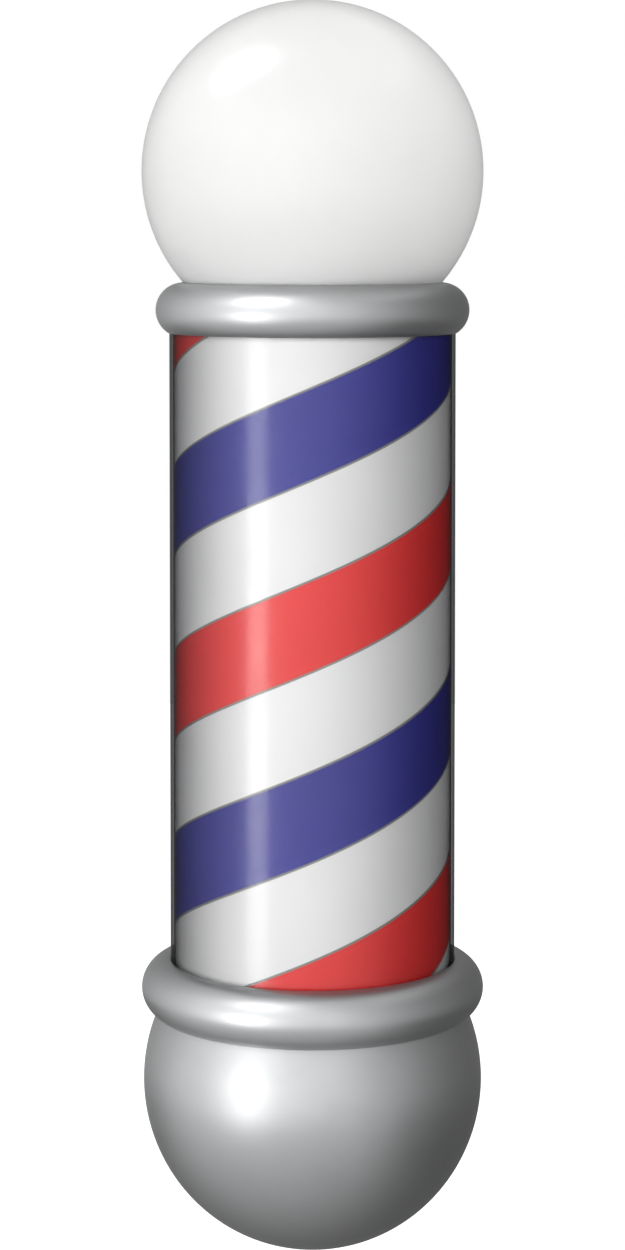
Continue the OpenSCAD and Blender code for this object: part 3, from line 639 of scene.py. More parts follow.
@dataclass(frozen=True)
class StripeFilm(Finish):
    """Cut vinyl film on the drum: even colour, satin skin and a grey line along both of its cut edges.

    The line's grey comes in from line_mm to line_solid times line_mm inside the cut, in a straight line.
    """

    half_width: float = FILM_WIDTH / 2
    line_mm: float = 1.65
    line_solid: float = 0.6
    line: str = "#8b8c85"
    shine: float = 0.15

    def surface(self, tree: bpy.types.NodeTree) -> bpy.types.NodeSocket:
        """Shader that turns grey where the piece's own 'across' value nears the film's edge.

        Args:
            tree: Node tree of the material.

        Returns:
            The shader's output.
        """
        place = self.place(tree)
        across = add_node(tree, "ShaderNodeAttribute", attribute_name="across").outputs["Fac"]
        off = add_node(tree, "ShaderNodeMath", {0: across}, operation="ABSOLUTE").outputs[0]
        edge = add_node(tree, "ShaderNodeMapRange", {
            "Value": off, "From Min": self.half_width - self.line_mm * MM,
            "From Max": self.half_width - self.line_mm * self.line_solid * MM
        }).outputs["Result"]
        colour = add_node(tree, "ShaderNodeMix", {
            "Factor": edge, "A": self.tint(tree, place), "B": to_linear(self.line)
        }, data_type="RGBA").outputs["Result"]
        roughness = self.dulled(tree, self.clouds(tree, place, self.drift_mm))
        return add_node(tree, "ShaderNodeBsdfPrincipled", {
            "Base Color": colour, "Roughness": roughness, "IOR": self.ior, "Specular IOR Level": self.shine,
            "Normal": self.relief(tree, place)
        }).outputs[0]


# Finish for each material slot of the record. The words after a name say what it gives the eye.
FINISHES: dict[str, Finish] = {
    # Spun and polished aluminium: soft, broad highlights and a satin grey body
    "polished_metal": SpunMetal("spun_aluminium", "#aeafb0", "#a8a9aa", 0.42, drift_mm=34, bump_mm=0.003,
                                rough_swing=0.04),
    # Sand-cast aluminium, tumbled: pale grey with a pebbled skin
    "cast_aluminium": Finish("cast_aluminium", "#d2d3d4", "#c3c5c7", 0.5, 1.0, grain_mm=1.1, bump_mm=0.10),
    # Zinc-plated sheet steel: cool grey with cloudy patches
    "zinc_steel": Finish("zinc_plate", "#ccd0d3", "#b4b9bd", 0.42, 1.0, grain_mm=2.5, drift_mm=9),
    # Stainless screws: brighter and cleaner than the plate
    "screw_steel": Finish("stainless_steel", "#b9bbbd", "#a8aaad", 0.27, 1.0, grain_mm=0.8, bump_mm=0.006),
    # Extruded aluminium, left plain: matt silver
    "aluminium": Finish("extruded_aluminium", "#c3c5c7", "#b5b7ba", 0.42, 1.0, grain_mm=1.0),
    # Cast acrylic tube: clear, with a soft gloss and painted shade towards its sides
    "clear_acrylic": ClearAcrylic("cast_acrylic", WHITE, WHITE, 0.24, drift_mm=60, rough_swing=0.02),
    # Nitrile rubber: near black and dull, with talc in its grain
    "gasket_rubber": Finish("nitrile_rubber", "#1d1d1e", "#2a2a2b", 0.75, ior=1.52, grain_mm=0.9,
                            bump_mm=0.05),
    # Silicone rubber: milky and slightly greasy
    "clear_silicone": Finish("silicone_rubber", "#dcdcd8", "#d0d0cb", 0.5, ior=1.41),
    # Blown opal glass: even white under a soft shine
    "opal_globe": OpalGlass("opal_glass", "#f1f1f0", "#ededec", 0.25, grain_mm=22, drift_mm=70,
                            rough_swing=0.02),
    # Opal acrylic drum: even white, dull enough to hide the lamps behind it
    "opal_drum": Finish("opal_acrylic", "#f3f3f3", "#efefef", 0.6, ior=1.49, grain_mm=3, drift_mm=60,
                        bump_mm=0.01),
    # Cut vinyl films: even, strong colour with a satin skin
    "red_film": StripeFilm("red_vinyl", Film.RED.value, "#ee1e1e", 0.5, ior=1.4, grain_mm=2, drift_mm=45,
                           bump_mm=0.006),
    "blue_film": StripeFilm("blue_vinyl", Film.BLUE.value, "#1e1e8d", 0.5, ior=1.4, grain_mm=2, drift_mm=45,
                            bump_mm=0.006),
    # Moulded polycarbonate: pale grey with a fine spark texture
    "moulded_hub": Finish("moulded_polycarbonate", "#d6d6d4", "#cfcfcd", 0.55, ior=1.58, bump_mm=0.04),
    # Sintered bronze: brown gold and open-pored
    "bronze": Finish("sintered_bronze", "#a87a45", "#94693a", 0.5, 1.0, grain_mm=0.7, bump_mm=0.05),
    # Moulded nylon: warm white, waxy
    "nylon": Finish("moulded_nylon", "#e6e3d6", "#dedacb", 0.45, ior=1.53),
    # Machined brass: yellow with fine tool marks
    "brass": Finish("machined_brass", "#c9a24d", "#b98f3e", 0.28, 1.0, grain_mm=0.8),
    # Glazed porcelain: warm white under a wet gloss
    "ceramic": Finish("glazed_porcelain", "#ece8dd", "#e4dfd2", 0.12, grain_mm=6, bump_mm=0.03),
    # Frosted bulb glass: warm white and matt
    "bulb_glass": Finish("frosted_glass", "#efeeea", "#e8e7e2", 0.4, ior=1.52, bump_mm=0.01),
    # Moulded ABS cases: off-white, fine texture
    "driver_case": Finish("moulded_abs", "#dedddb", "#d5d4d1", 0.5, ior=1.53, bump_mm=0.05),
    # Coated circuit board: white solder mask with a low shine
    "strip_board": Finish("solder_mask", "#e9e9e6", "#e2e2de", 0.35),
    # Phosphor over the light chips: chalky yellow
    "led_phosphor": Finish("phosphor_gel", "#e8d873", "#dfcd62", 0.3, ior=1.45),
    # Moulded polyamide switch cases: black with a fine texture
    "switch_black": Finish("black_polyamide", "#202021", "#29292a", 0.5, ior=1.53, bump_mm=0.06),
    # Moulded urea rockers: ivory, smooth and glossy
    "switch_ivory": Finish("ivory_urea", "#dfd9c4", "#d8d1ba", 0.28, ior=1.55, bump_mm=0.01),
}


@dataclass
class Wardrobe:
    """Makes each slot's material once and dresses pieces in it."""

    made: dict[str, bpy.types.Material]

    def material(self, slot: str) -> bpy.types.Material:
        """Material of a slot, made when it is first asked for.

        Args:
            slot: Material slot of the record.

        Returns:
            The material.
        """
        if slot not in self.made:
            self.made[slot] = FINISHES[slot].material()
        return self.made[slot]

    def dress(self, piece: bpy.types.Object, slot: str, body: str, *nodes: str) -> bpy.types.Object:
        """Give a new piece its finish, its body and the CAD nodes that it stands for.

        Args:
            piece: The new piece.
            slot: Material slot of the record.
            body: CAD body that the piece moves with.
            nodes: CAD nodes that it replaces.

        Returns:
            The same piece.
        """
        piece.data.materials.clear()
        piece.data.materials.append(self.material(slot))
        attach(piece, body)
        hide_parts(*nodes)
        log.info("%s on %s in %s for %s", piece.name, body, slot, ", ".join(nodes))
        return piece

    def dress_nodes(self) -> None:
        """Give every CAD node the material of its slot."""
        for part in frame["record"]["subparts"]:
            node = frame["nodes"][part["node"]]
            for place in node.material_slots:
                place.material = self.material(part["material_slot"])


# Sub-assemblies


@dataclass
class Globe:
    """Opal globe with its neck and three locking lugs."""

    radius: float
    centre_z: float
    neck_bottom: float
    neck_r: float = 62 * MM
    wall: float = 3 * MM
    edge: float = 0.6 * MM
    lugs: int = 3
    lug_reach: float = 2.5 * MM
    lug_low: float = 0.5 * MM
    lug_height: float = 2.2 * MM
    lug_arc: float = 24.0
    lug_steps: int = 12
    lug_edge: float = 0.3 * MM

    @classmethod
    def from_frame(cls) -> "Globe":
        """Sizes from the CAD globe's box."""
        box = Box.of("globe")
        return cls(box.radius, float(box.high[2]) - box.radius, float(box.low[2]))

    def shell(self) -> bpy.types.Object:
        """Turn the shell: up the neck, over the outside to the pole, and back down the inside.

        The neck meets the sphere where the angle's cosine is the neck's radius over the sphere's.

        Returns:
            The shell.
        """
        centre, inside = (0.0, self.centre_z), self.neck_r - self.wall
        out_angle = -math.degrees(math.acos(self.neck_r / self.radius))
        in_angle = -math.degrees(math.acos(inside / (self.radius - self.wall)))
        profile = np.vstack([
            (self.neck_r, self.neck_bottom),
            arc(centre, self.radius, out_angle, 90, OUTER_STEPS),
            arc(centre, self.radius - self.wall, 90, in_angle, INNER_STEPS),
            (inside, self.neck_bottom),
        ])
        return softened(turned("globe_shell", profile), self.edge)

    def lug(self, number: int) -> bpy.types.Object:
        """One lug: a small block bent round the neck and let into it a little.

        Lug n has its middle at n * 360 / lugs degrees.

        Args:
            number: Which one, from 0.

        Returns:
            The lug.
        """
        low = self.neck_bottom + self.lug_low
        high = low + self.lug_height
        near, far = self.neck_r - self.lug_low, self.neck_r + self.lug_reach
        profile = np.array([(near, low), (far, low), (far, high), (near, high)])
        start = 360 / self.lugs * number - self.lug_arc / 2
        block = turned(f"globe_lug_{number + 1}", profile, self.lug_steps, start, self.lug_arc)
        return softened(block, self.lug_edge)

    def build(self, wardrobe: Wardrobe) -> list[bpy.types.Object]:
        """Make and dress the globe.

        Args:
            wardrobe: Maker of the materials.

        Returns:
            The shell and the lugs.
        """
        pieces = [self.shell()] + [self.lug(i) for i in range(self.lugs)]
        return [wardrobe.dress(piece, "opal_globe", "globe_body", "globe") for piece in pieces]


@dataclass
class RearPad:
    """Block on a ring's back that the arm bolts to."""

    face_y: float
    middle_z: float
    front_r: float
    width: float = 44 * MM
    height: float = 30 * MM
    corner: float = 5 * MM
    edge: float = 0.8 * MM

    def build(self, name: str) -> bpy.types.Object:
        """Carry the rounded outline back from just behind the tube to the pad's face.

        Args:
            name: Name of the piece.

        Returns:
            The pad.
        """
        x, z = rounded_outline(self.width, self.height, self.corner).T
        y = np.array([self.face_y, AXIS_Y + self.front_r])[:, None]
        grid = np.stack(np.broadcast_arrays(x, y, self.middle_z + z), axis=-1)
        return softened(swept(name, grid, False), self.edge)


@dataclass
class UpperRing:
    """Polished bead that the globe sits in, with the tube's pocket in its underside."""

    outer_r: float
    middle_z: float
    shelf_z: float
    bore_r: float
    pocket_r: float
    globe_centre: Point
    seat_r: float
    bead_r: float = 16 * MM
    seat_steps: int = 16
    edge: float = 0.5 * MM

    @classmethod
    def from_frame(cls, globe: Globe) -> "UpperRing":
        """Sizes from the CAD ring and from what it holds.

        Args:
            globe: The globe that sits in it.

        Returns:
            The ring.
        """
        tube, arm = Box.of("outer_tube"), Box.of("upper_arm")
        return cls(
            Box.of("upper_ring").radius, float(arm.middle[2]), float(Box.of("cap_plate").high[2]),
            Box.of("globe_fitter").radius + SLIP, tube.radius + SLIP,
            (0.0, globe.centre_z), globe.radius + SEAT_GAP
        )

    def profile(self) -> np.ndarray:
        """Outline: up the bead's outside, down the globe's dish, down the bore, out along the shelf.

        The bead starts at the tube's pocket, sqrt(bead^2 - run^2) below its own middle, where run is how far
        the pocket's radius is from there. It ends where it meets the circle of the dish.

        Returns:
            One row of (distance from the axis, height) a point.
        """
        bead = (self.outer_r - self.bead_r, self.middle_z)
        low = (self.pocket_r, bead[1] - math.sqrt(self.bead_r ** 2 - (self.pocket_r - bead[0]) ** 2))
        crest = circles_meet(bead, self.bead_r, self.globe_centre, self.seat_r)
        bore_angle = -math.degrees(math.acos(self.bore_r / self.seat_r))
        crest_angle = angle_to(self.globe_centre, crest)
        return np.vstack([
            arc(bead, self.bead_r, angle_to(bead, low), angle_to(bead, crest), INNER_STEPS),
            arc(self.globe_centre, self.seat_r, crest_angle, bore_angle, self.seat_steps)[1:],
            (self.bore_r, self.shelf_z),
            (self.pocket_r, self.shelf_z),
        ])

    def build(self, wardrobe: Wardrobe) -> None:
        """Make and dress the ring and its rear pad.

        Args:
            wardrobe: Maker of the materials.
        """
        face_y = float(Box.of("upper_arm").low[1])
        ring = softened(turned("upper_ring_bead", self.profile()), self.edge)
        pad = RearPad(face_y, self.middle_z, self.pocket_r + PAD_GAP).build("upper_ring_pad")
        for piece in (ring, pad):
            wardrobe.dress(piece, "polished_metal", "pole", "upper_ring")


@dataclass
class LowerRing:
    """Wider polished bead that the tube stands in, with an inner flange and pockets for the bowl's screws."""

    outer_r: float
    middle_z: float
    shelf_z: float
    flange_bottom: float
    pocket_r: float
    neck_bore_r: float
    bowl_centre: Point
    seat_r: float
    screw_z: float
    screw_reach: float
    bead_r: float = 17 * MM
    flange_r: float = 70 * MM
    seat_steps: int = 8
    screw_angles: tuple[float, ...] = (15, 60, 120, 165)
    head_side: float = 1 * MM  # how far the first head reaches past its middle in X
    head_height: float = 2.2 * MM
    head_pocket_r: float = 4.1 * MM
    head_pocket_steps: int = 48

    @classmethod
    def from_frame(cls, bowl: "Bowl") -> "LowerRing":
        """Sizes from the CAD ring and from what it holds.

        Args:
            bowl: The bowl that hangs in it.

        Returns:
            The ring.
        """
        tube, arm, screws = Box.of("outer_tube"), Box.of("lower_arm"), Box.of("bowl_screws")
        return cls(
            Box.of("lower_ring").radius, float(arm.middle[2]), float(Box.of("lower_gasket").low[2]),
            float(Box.of("base_plate").high[2]), tube.radius + SLIP, bowl.neck_r + SLIP,
            (0.0, bowl.centre_z), bowl.radius + SEAT_GAP, float(screws.middle[2]), float(screws.high[0])
        )

    @property
    def head_seat_r(self) -> float:
        """Distance from the axis to the heads' seats: (reach - side) / cos(first angle) - head's height."""
        head_face_r = (self.screw_reach - self.head_side) / math.cos(math.radians(self.screw_angles[0]))
        return head_face_r - self.head_height

    def profile(self) -> np.ndarray:
        """Outline: under the flange, down the neck's bore, out along the bowl's seat, round the bead.

        The bead starts where it meets the circle of the seat. It ends at the tube's pocket,
        sqrt(bead^2 - run^2) above its own middle, where run is how far the pocket's radius is from there.

        Returns:
            One row of (distance from the axis, height) a point.
        """
        bead = (self.outer_r - self.bead_r, self.middle_z)
        top = (self.pocket_r, bead[1] + math.sqrt(self.bead_r ** 2 - (self.pocket_r - bead[0]) ** 2))
        lip = circles_meet(bead, self.bead_r, self.bowl_centre, self.seat_r)
        bore_angle = math.degrees(math.acos(self.neck_bore_r / self.seat_r))
        lip_angle = angle_to(self.bowl_centre, lip)
        return np.vstack([
            (self.flange_r, self.flange_bottom),
            (self.neck_bore_r, self.flange_bottom),
            arc(self.bowl_centre, self.seat_r, bore_angle, lip_angle, self.seat_steps),
            arc(bead, self.bead_r, angle_to(bead, lip), angle_to(bead, top), INNER_STEPS)[1:],
            (self.pocket_r, self.shelf_z),
            (self.flange_r, self.shelf_z),
        ])

    def head_pocket(self, angle: float) -> bpy.types.Object:
        """Round cutter that runs out from the seat of one screw's head.

        A circle in the plane across the screw is carried from the seat to well outside the ring.

        Args:
            angle: The screw's direction in degrees.

        Returns:
            The cutter.
        """
        around = np.radians(np.linspace(0, 360, self.head_pocket_steps + 1))[:-1]
        out = np.array([self.head_seat_r, self.outer_r + self.bead_r])[:, None]
        turn = math.radians(angle)
        side, up = self.head_pocket_r * np.cos(around), self.head_pocket_r * np.sin(around)
        grid = np.stack(np.broadcast_arrays(
            out * math.cos(turn) + side * math.sin(turn),
            AXIS_Y + out * math.sin(turn) - side * math.cos(turn),
            self.screw_z + up
        ), axis=-1)
        cutter = swept("head_pocket", grid, False)
        work = bmesh.new()
        work.from_mesh(cutter.data)
        bmesh.ops.recalc_face_normals(work, faces=work.faces)
        work.to_mesh(cutter.data)
        work.free()
        return cutter

    def build(self, wardrobe: Wardrobe) -> None:
        """Make and dress the ring and its rear pad.

        Args:
            wardrobe: Maker of the materials.
        """
        ring = turned("lower_ring_bead", self.profile())
        for angle in self.screw_angles:
            cut_from(ring, self.head_pocket(angle))
        face_y = float(Box.of("lower_arm").low[1])
        pad = RearPad(face_y, self.middle_z, self.pocket_r + PAD_GAP).build("lower_ring_pad")
        for piece in (creased(ring), pad):
            wardrobe.dress(piece, "polished_metal", "pole", "lower_ring")


@dataclass
class Bowl:
    """Spun bowl that closes the lower end, with its neck up inside the lower ring."""

    radius: float
    centre_z: float
    rim_z: float
    neck_r: float = 88 * MM
    wall: float = 1.2 * MM
    edge: float = 0.3 * MM

    @classmethod
    def from_frame(cls) -> "Bowl":
        """Sizes from the CAD bowl's box."""
        box = Box.of("bowl")
        return cls(box.radius, float(box.low[2]) + box.radius, float(box.high[2]))

    def build(self, wardrobe: Wardrobe) -> None:
        """Turn the shell from its lowest point up the outside to the rim, and back down the inside.

        The neck leaves the sphere where the angle's cosine is the neck's radius over the sphere's.

        Args:
            wardrobe: Maker of the materials.
        """
        centre, inside = (0.0, self.centre_z), self.neck_r - self.wall
        out_angle = math.degrees(math.acos(self.neck_r / self.radius))
        in_angle = math.degrees(math.acos(inside / (self.radius - self.wall)))
        profile = np.vstack([
            arc(centre, self.radius, -90, out_angle, OUTER_STEPS),
            (self.neck_r, self.rim_z),
            (inside, self.rim_z),
            arc(centre, self.radius - self.wall, in_angle, -90, INNER_STEPS),
        ])
        wardrobe.dress(softened(turned("bowl_shell", profile), self.edge), "polished_metal", "pole", "bowl")


@dataclass
class ClearTube:
    """Clear acrylic tube between the two rings."""

    radius: float
    low_z: float
    high_z: float
    wall: float = 2 * MM
    edge: float = 0.3 * MM

    @classmethod
    def from_frame(cls) -> "ClearTube":
        """Sizes from the CAD tube's box."""
        box = Box.of("outer_tube")
        return cls(box.radius, float(box.low[2]), float(box.high[2]))

    def build(self, wardrobe: Wardrobe) -> None:
        """Make and dress the tube.

        Args:
            wardrobe: Maker of the materials.
        """
        section = wall_section(self.radius, self.wall, self.low_z, self.high_z)
        tube = softened(turned("clear_tube", section), self.edge)
        wardrobe.dress(tube, "clear_acrylic", "pole", "outer_tube")


@dataclass
class Drum:
    """Opal drum with its two films, each a band that climbs as it goes round."""

    radius: float
    low_z: float
    high_z: float
    film_outer_r: float
    film_low: float
    film_high: float
    wall: float = 1.6 * MM
    edge: float = 0.3 * MM
    film_t: float = 0.25 * MM
    lead: float = 217 * MM
    red_middle: float = 24 * MM
    front: float = -90.0
    blunt: float = 1 * MM  # height at which a band's pointed ends are cut off
    lanes: int = 25

    @classmethod
    def from_frame(cls) -> "Drum":
        """Sizes from the CAD drum's and stripe's boxes."""
        shell, film = Box.of("drum_shell"), Box.of("red_stripe")
        return cls(shell.radius, float(shell.low[2]), float(shell.high[2]),
                   film.radius, float(film.low[2]), float(film.high[2]))

    def film(self, name: str, middle: float) -> bpy.types.Object:
        """Carry a flat section up a helix, cut off level at both ends.

        At angle a the band's middle is at middle + lead * (a - front) / 360. Its height runs half a width to
        either side and is held between the two level cuts. How far each point is from the band's middle is
        kept as the point value 'across'.

        Args:
            name: Name of the piece.
            middle: Height of the band's middle at the front.

        Returns:
            The film.
        """
        half = FILM_WIDTH / 2
        start = self.front + (self.film_low + self.blunt - half - middle) / self.lead * 360
        end = self.front + (self.film_high - self.blunt + half - middle) / self.lead * 360
        angle = np.linspace(start, end, int(end - start) + 1)[:, None]
        lane = np.linspace(-half, half, self.lanes)
        offset = np.concatenate([lane, lane[::-1]])[None, :]
        reach = np.repeat([self.film_outer_r, self.film_outer_r - self.film_t], self.lanes)[None, :]
        centre = middle + self.lead * (angle - self.front) / 360
        height = np.clip(centre + offset, self.film_low, self.film_high)
        turn = np.radians(angle)
        x, y = reach * np.cos(turn), AXIS_Y + reach * np.sin(turn)
        film = swept(name, np.stack([x, y, height], axis=-1), False)
        points = np.empty(len(film.data.vertices) * 3)
        film.data.vertices.foreach_get("co", points)
        x, y, z = points.reshape(-1, 3).T
        around = np.degrees(np.arctan2(y - AXIS_Y, x))
        off = z - middle - self.lead * (around - self.front) / 360
        across = (off + self.lead / 2) % self.lead - self.lead / 2
        film.data.attributes.new("across", "FLOAT", "POINT").data.foreach_set("value", across)
        return creased(film)

    def build(self, wardrobe: Wardrobe) -> None:
        """Make and dress the drum's shell and both films, the blue one half a lead below the red one.

        Args:
            wardrobe: Maker of the materials.
        """
        section = wall_section(self.radius, self.wall, self.low_z, self.high_z)
        wardrobe.dress(softened(turned("drum_wall", section), self.edge), "opal_drum", "drum", "drum_shell")
        wardrobe.dress(self.film("red_band", self.red_middle), "red_film", "drum", "red_stripe")
        blue_middle = self.red_middle - self.lead / 2
        wardrobe.dress(self.film("blue_band", blue_middle), "blue_film", "drum", "blue_stripe")


# Studio


class LampShape(Enum):
    """Outline of a lamp's face."""

    SQUARED = "RECTANGLE"
    ROUND = "ELLIPSE"


class Reach(Enum):
    """Pieces that a lamp reaches, as flags in a studio would have it, and how light linking says so."""

    ALL = ""
    GLOBE = "INCLUDE"
    REST = "EXCLUDE"


@dataclass(frozen=True)
class Softbox:
    """A lamp that faces a point on the pole from a distance and a direction."""

    name: str
    azimuth: float
    elevation: float
    distance: float
    watts: float
    width: float
    height: float
    aim_z: float = 0.0
    roll: float = 0.0
    shape: LampShape = LampShape.SQUARED
    lights: bool = True
    mirrored: bool = True
    reach: Reach = Reach.ALL

    def build(self, globe: list[bpy.types.Object]) -> None:
        """Hang the lamp. Azimuth 0 is in front of the pole, and +90 to its right.

        At azimuth a and elevation e it stands at the aim + distance * (sin a cos e, -cos a cos e, sin e).

        Args:
            globe: The globe's pieces, for a lamp that reaches them alone or leaves them out.
        """
        data = bpy.data.lights.new(self.name, "AREA")
        data.shape = self.shape.value
        data.size, data.size_y = self.width, self.height
        data.energy = self.watts
        lamp = bpy.data.objects.new(self.name, data)
        a, e = math.radians(self.azimuth), math.radians(self.elevation)
        away = np.array([math.sin(a) * math.cos(e), -math.cos(a) * math.cos(e), math.sin(e)])
        lamp.location = np.array([0.0, AXIS_Y, self.aim_z]) + self.distance * away
        rolled = Matrix.Rotation(math.radians(self.roll), 3, "Z")
        facing = Euler((math.pi / 2 - e, 0.0, a)).to_matrix() @ rolled
        lamp.rotation_euler = facing.to_euler()
        lamp.visible_diffuse = self.lights
        lamp.visible_glossy = self.mirrored
        bpy.context.scene.collection.objects.link(lamp)
        if self.reach is not Reach.ALL:
            lamp.light_linking.receiver_collection = self.group(globe)

    def group(self, globe: list[bpy.types.Object]) -> bpy.types.Collection:
        """Group that limits a lamp to its reach, made for the first lamp that has that reach.

        Args:
            globe: The globe's pieces.

        Returns:
            A collection of them, each marked as reached or as left out.
        """
        name = f"reach_{self.reach.name.lower()}"
        group = bpy.data.collections.get(name)
        if group is None:
            group = bpy.data.collections.new(name)
            for piece in globe:
                group.objects.link(piece)
            for link in group.collection_objects:
                link.light_linking.link_state = self.reach.value
        return group


# Name, azimuth, elevation, distance, watts, width and height. The ones that don't light give the highlights.
LAMPS: list[Softbox] = [
    Softbox("key", -8, 24, 2.2, 23.2, 1.2, 1.2, mirrored=False),
    Softbox("tall_box", -44, -7.6, 1.5, 5.2, 0.4, 0.75, lights=False, reach=Reach.REST),
    Softbox("tall_fill", -30, -7.6, 1.5, 5.0, 0.4, 0.75, mirrored=False),
    Softbox("ring_lamp", -44, 45, 1.5, 8.5, 0.6, 0.75, aim_z=0.2, lights=False, reach=Reach.REST),
    Softbox("globe_lamp", -87, 57, 1.6, 9.0, 0.95, 0.6, aim_z=0.28, roll=68, shape=LampShape.ROUND,
            lights=False, reach=Reach.GLOBE),
    Softbox("right_fill", 100, 22, 2.4, 22.0, 1.2, 1.2, mirrored=False),
    Softbox("left_fill", -118, 25, 2.4, 17.0, 1.2, 1.2, mirrored=False),
    Softbox("overhead", 0, 80, 1.8, 6.0, 1.0, 1.0, mirrored=False),
]


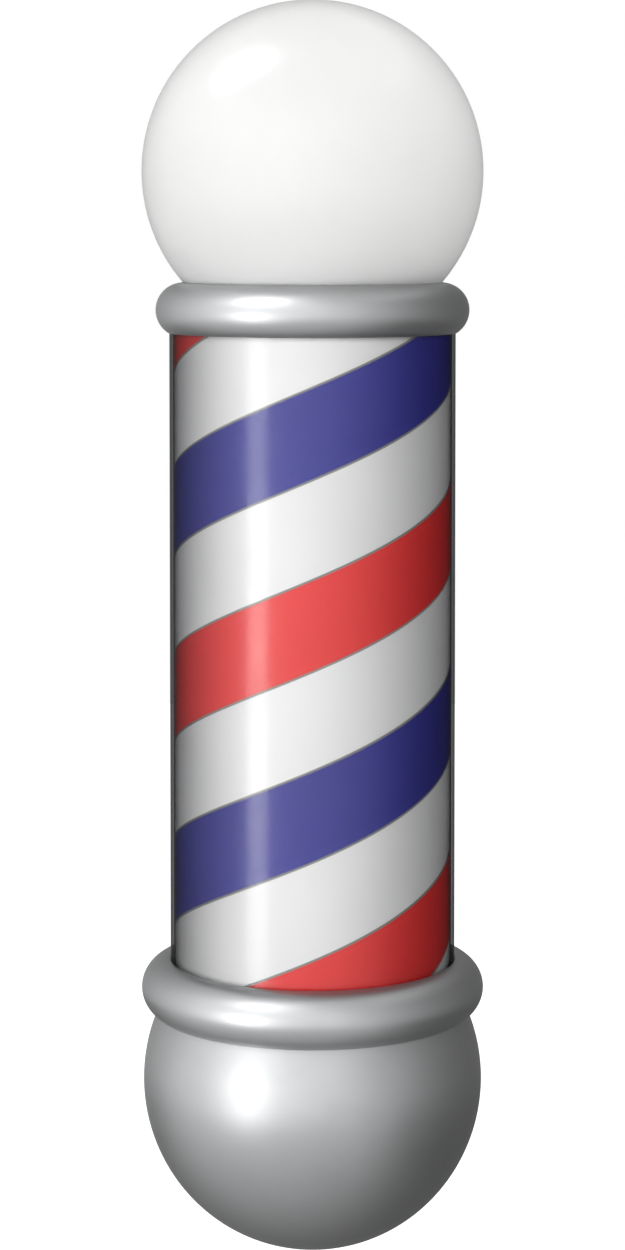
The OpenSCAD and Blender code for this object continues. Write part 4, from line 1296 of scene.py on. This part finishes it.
@dataclass
class Studio:
    """Camera, lamps, pale room and floor."""

    distance: float = 1.827
    eye_z: float = 0.2526
    tilt: float = 2.85
    lens_mm: float = 89.7
    sensor_mm: float = 36.0
    rise: float = -0.2
    floor_z: float = -1.15
    floor_size: float = 14.0
    floor_paint: str = "#e6e6e6"
    floor_lift: float = 0.6
    floor_near: float = 0.8
    floor_far: float = 2.6
    room_light: float = 0.35
    card_r: float = 2.7
    card_low_z: float = -0.95
    card_azimuth: float = -34.0
    card_bright: float = 1.9
    card_dark: float = 0.2
    card_spread: float = 1.7
    card_half_turn: float = 179.9
    card_steps: int = 180
    low_card_bright: float = 0.8
    low_card_dark: float = 0.14
    low_card_slant: float = 0.6
    low_card_near: float = -0.9
    low_card_far: float = 0.5
    low_card_steps: int = 90

    def camera(self) -> None:
        """Stand the camera in front of the pole, level with the globe's lower half."""
        data = bpy.data.cameras.new("camera")
        data.lens = self.lens_mm
        data.sensor_width = self.sensor_mm
        data.shift_y = self.rise
        eye = bpy.data.objects.new("camera", data)
        eye.location = (0.0, AXIS_Y - self.distance, self.eye_z)
        eye.rotation_euler = (math.radians(90 - self.tilt), 0.0, 0.0)
        bpy.context.scene.collection.objects.link(eye)
        bpy.context.scene.camera = eye

    @staticmethod
    def seen_directly(tree: bpy.types.NodeTree) -> bpy.types.NodeSocket:
        """Tell a ray that sees the room from one that only lights by it.

        Args:
            tree: Node tree of the world or floor.

        Returns:
            The greatest of three: 1 for a ray from the camera, off a mirror or through glass, else 0.
        """
        path = add_node(tree, "ShaderNodeLightPath")
        mirror = add_node(tree, "ShaderNodeMath", {
            0: path.outputs["Is Glossy Ray"], 1: path.outputs["Is Transmission Ray"]
        }, operation="MAXIMUM").outputs[0]
        return add_node(tree, "ShaderNodeMath", {
            0: path.outputs["Is Camera Ray"], 1: mirror
        }, operation="MAXIMUM").outputs[0]

    def room(self) -> None:
        """White room to look at that lights only a little: 1 where seen directly, else room_light."""
        world = bpy.data.worlds.new("room")
        tree = cleared_tree(world)
        strength = add_node(tree, "ShaderNodeMapRange", {
            "Value": self.seen_directly(tree), "To Min": self.room_light, "To Max": 1.0
        }).outputs["Result"]
        glow = add_node(tree, "ShaderNodeBackground", {
            "Color": to_linear(WHITE), "Strength": strength
        }).outputs[0]
        add_node(tree, "ShaderNodeOutputWorld", {"Surface": glow})
        bpy.context.scene.world = world

    def floor(self) -> None:
        """Pale floor well below the pole that keeps its shadow, and turns as white as the room further off.

        Where it is seen directly it glows: by floor_lift as far out as floor_near, then smoothly up to 1 at
        floor_far.
        """
        half = self.floor_size / 2
        corners = np.array([(-half, -half, self.floor_z), (half, -half, self.floor_z),
                            (half, half, self.floor_z), (-half, half, self.floor_z)])
        plane = piece_from("floor", corners, [[0, 1, 2, 3]])
        paint = bpy.data.materials.new("white_floor_paint")
        tree = cleared_tree(paint)
        matt = add_node(tree, "ShaderNodeBsdfDiffuse", {"Color": to_linear(self.floor_paint)}).outputs[0]
        coords = add_node(tree, "ShaderNodeTexCoord").outputs["Object"]
        away = add_node(tree, "ShaderNodeVectorMath", {
            0: coords, 1: (0.0, 0.0, self.floor_z)
        }, operation="DISTANCE").outputs["Value"]
        level = add_node(tree, "ShaderNodeMapRange", {
            "Value": away, "From Min": self.floor_near, "From Max": self.floor_far,
            "To Min": self.floor_lift, "To Max": 1.0
        }, interpolation_type="SMOOTHSTEP").outputs["Result"]
        lift = add_node(tree, "ShaderNodeMath", {
            0: level, 1: self.seen_directly(tree)
        }, operation="MULTIPLY").outputs[0]
        glow = add_node(tree, "ShaderNodeEmission", {"Color": to_linear(WHITE), "Strength": lift}).outputs[0]
        both = add_node(tree, "ShaderNodeAddShader", {0: matt, 1: glow}).outputs[0]
        add_node(tree, "ShaderNodeOutputMaterial", {"Surface": both})
        plane.data.materials.append(paint)

    @staticmethod
    def ease(value: np.ndarray, start: float, end: float) -> np.ndarray:
        """Climb smoothly from 0 at start to 1 at end: t * t * (3 - 2t)."""
        t = np.clip((value - start) / (end - start), 0, 1)
        return t * t * (3 - 2 * t)

    def grey_card(self, name: str, grid: np.ndarray, shade: np.ndarray) -> None:
        """Hang a graded grey card that only mirrors see, so that the metal has something dark to show.

        Args:
            name: Name of the card.
            grid: Points as (row, column, xyz).
            shade: Brightness of each point, where 1 is as white as the room.
        """
        rows, columns = grid.shape[:2]
        corner = (np.arange(rows - 1)[:, None] * columns + np.arange(columns - 1)[None, :]).ravel()
        faces = np.stack([corner, corner + 1, corner + columns + 1, corner + columns], axis=-1)
        card = piece_from(name, grid.reshape(-1, 3), faces.tolist())
        card.data.attributes.new("shade", "FLOAT", "POINT").data.foreach_set("value", shade.ravel())
        paint = bpy.data.materials.new(f"{name}_paint")
        tree = cleared_tree(paint)
        grey = add_node(tree, "ShaderNodeAttribute", attribute_name="shade").outputs["Fac"]
        glow = add_node(tree, "ShaderNodeEmission", {"Color": to_linear(WHITE), "Strength": grey}).outputs[0]
        add_node(tree, "ShaderNodeOutputMaterial", {"Surface": glow})
        card.data.materials.append(paint)
        card.visible_camera = False
        card.visible_diffuse = False
        card.visible_shadow = False
        card.visible_transmission = False

    def cards(self) -> None:
        """Round card all the way round, brightest at the front left, and a level one below the bowl.

        At direction a the round card's shade is dark + (bright - dark) * ((1 + cos(a - azimuth)) / 2)^spread.
        It stops just short of a whole turn, behind the pole, so that no two of its points fall together. The
        level card darkens with y + slant * x, from the front left to the rear right.
        """
        degrees = np.linspace(-self.card_half_turn, self.card_half_turn, self.card_steps + 1)
        turn = np.radians(degrees)[None, :]
        height = np.array([self.card_low_z, self.card_r])[:, None]
        grid = np.stack(np.broadcast_arrays(
            self.card_r * np.sin(turn), AXIS_Y - self.card_r * np.cos(turn), height), axis=-1)
        share = ((1 + np.cos(turn - math.radians(self.card_azimuth))) / 2) ** self.card_spread
        shade = np.broadcast_to(self.card_dark + (self.card_bright - self.card_dark) * share, grid.shape[:2])
        self.grey_card("round_card", grid, shade)
        side = np.linspace(-self.card_r, self.card_r, self.low_card_steps + 1)
        x, y = np.meshgrid(side, side)
        fade = self.ease(y + self.low_card_slant * x, self.low_card_near, self.low_card_far)
        shade = self.low_card_bright + (self.low_card_dark - self.low_card_bright) * fade
        level = np.stack([x, y + AXIS_Y, np.full_like(x, self.card_low_z)], axis=-1)
        self.grey_card("low_card", level, shade)

    def build(self, globe: list[bpy.types.Object]) -> None:
        """Set up everything round the pole.

        Args:
            globe: The globe's pieces.
        """
        self.room()
        self.floor()
        self.cards()
        for lamp in LAMPS:
            lamp.build(globe)
        bpy.context.scene.view_settings.view_transform = "Standard"


def main() -> None:
    logging.basicConfig(level=logging.INFO, format="%(message)s")
    studio = Studio()
    studio.camera()
    wardrobe = Wardrobe({})
    wardrobe.dress_nodes()
    globe, bowl = Globe.from_frame(), Bowl.from_frame()
    glass = globe.build(wardrobe)
    UpperRing.from_frame(globe).build(wardrobe)
    ClearTube.from_frame().build(wardrobe)
    Drum.from_frame().build(wardrobe)
    LowerRing.from_frame(bowl).build(wardrobe)
    bowl.build(wardrobe)
    studio.build(glass)


if __name__ == "__main__":
    main()
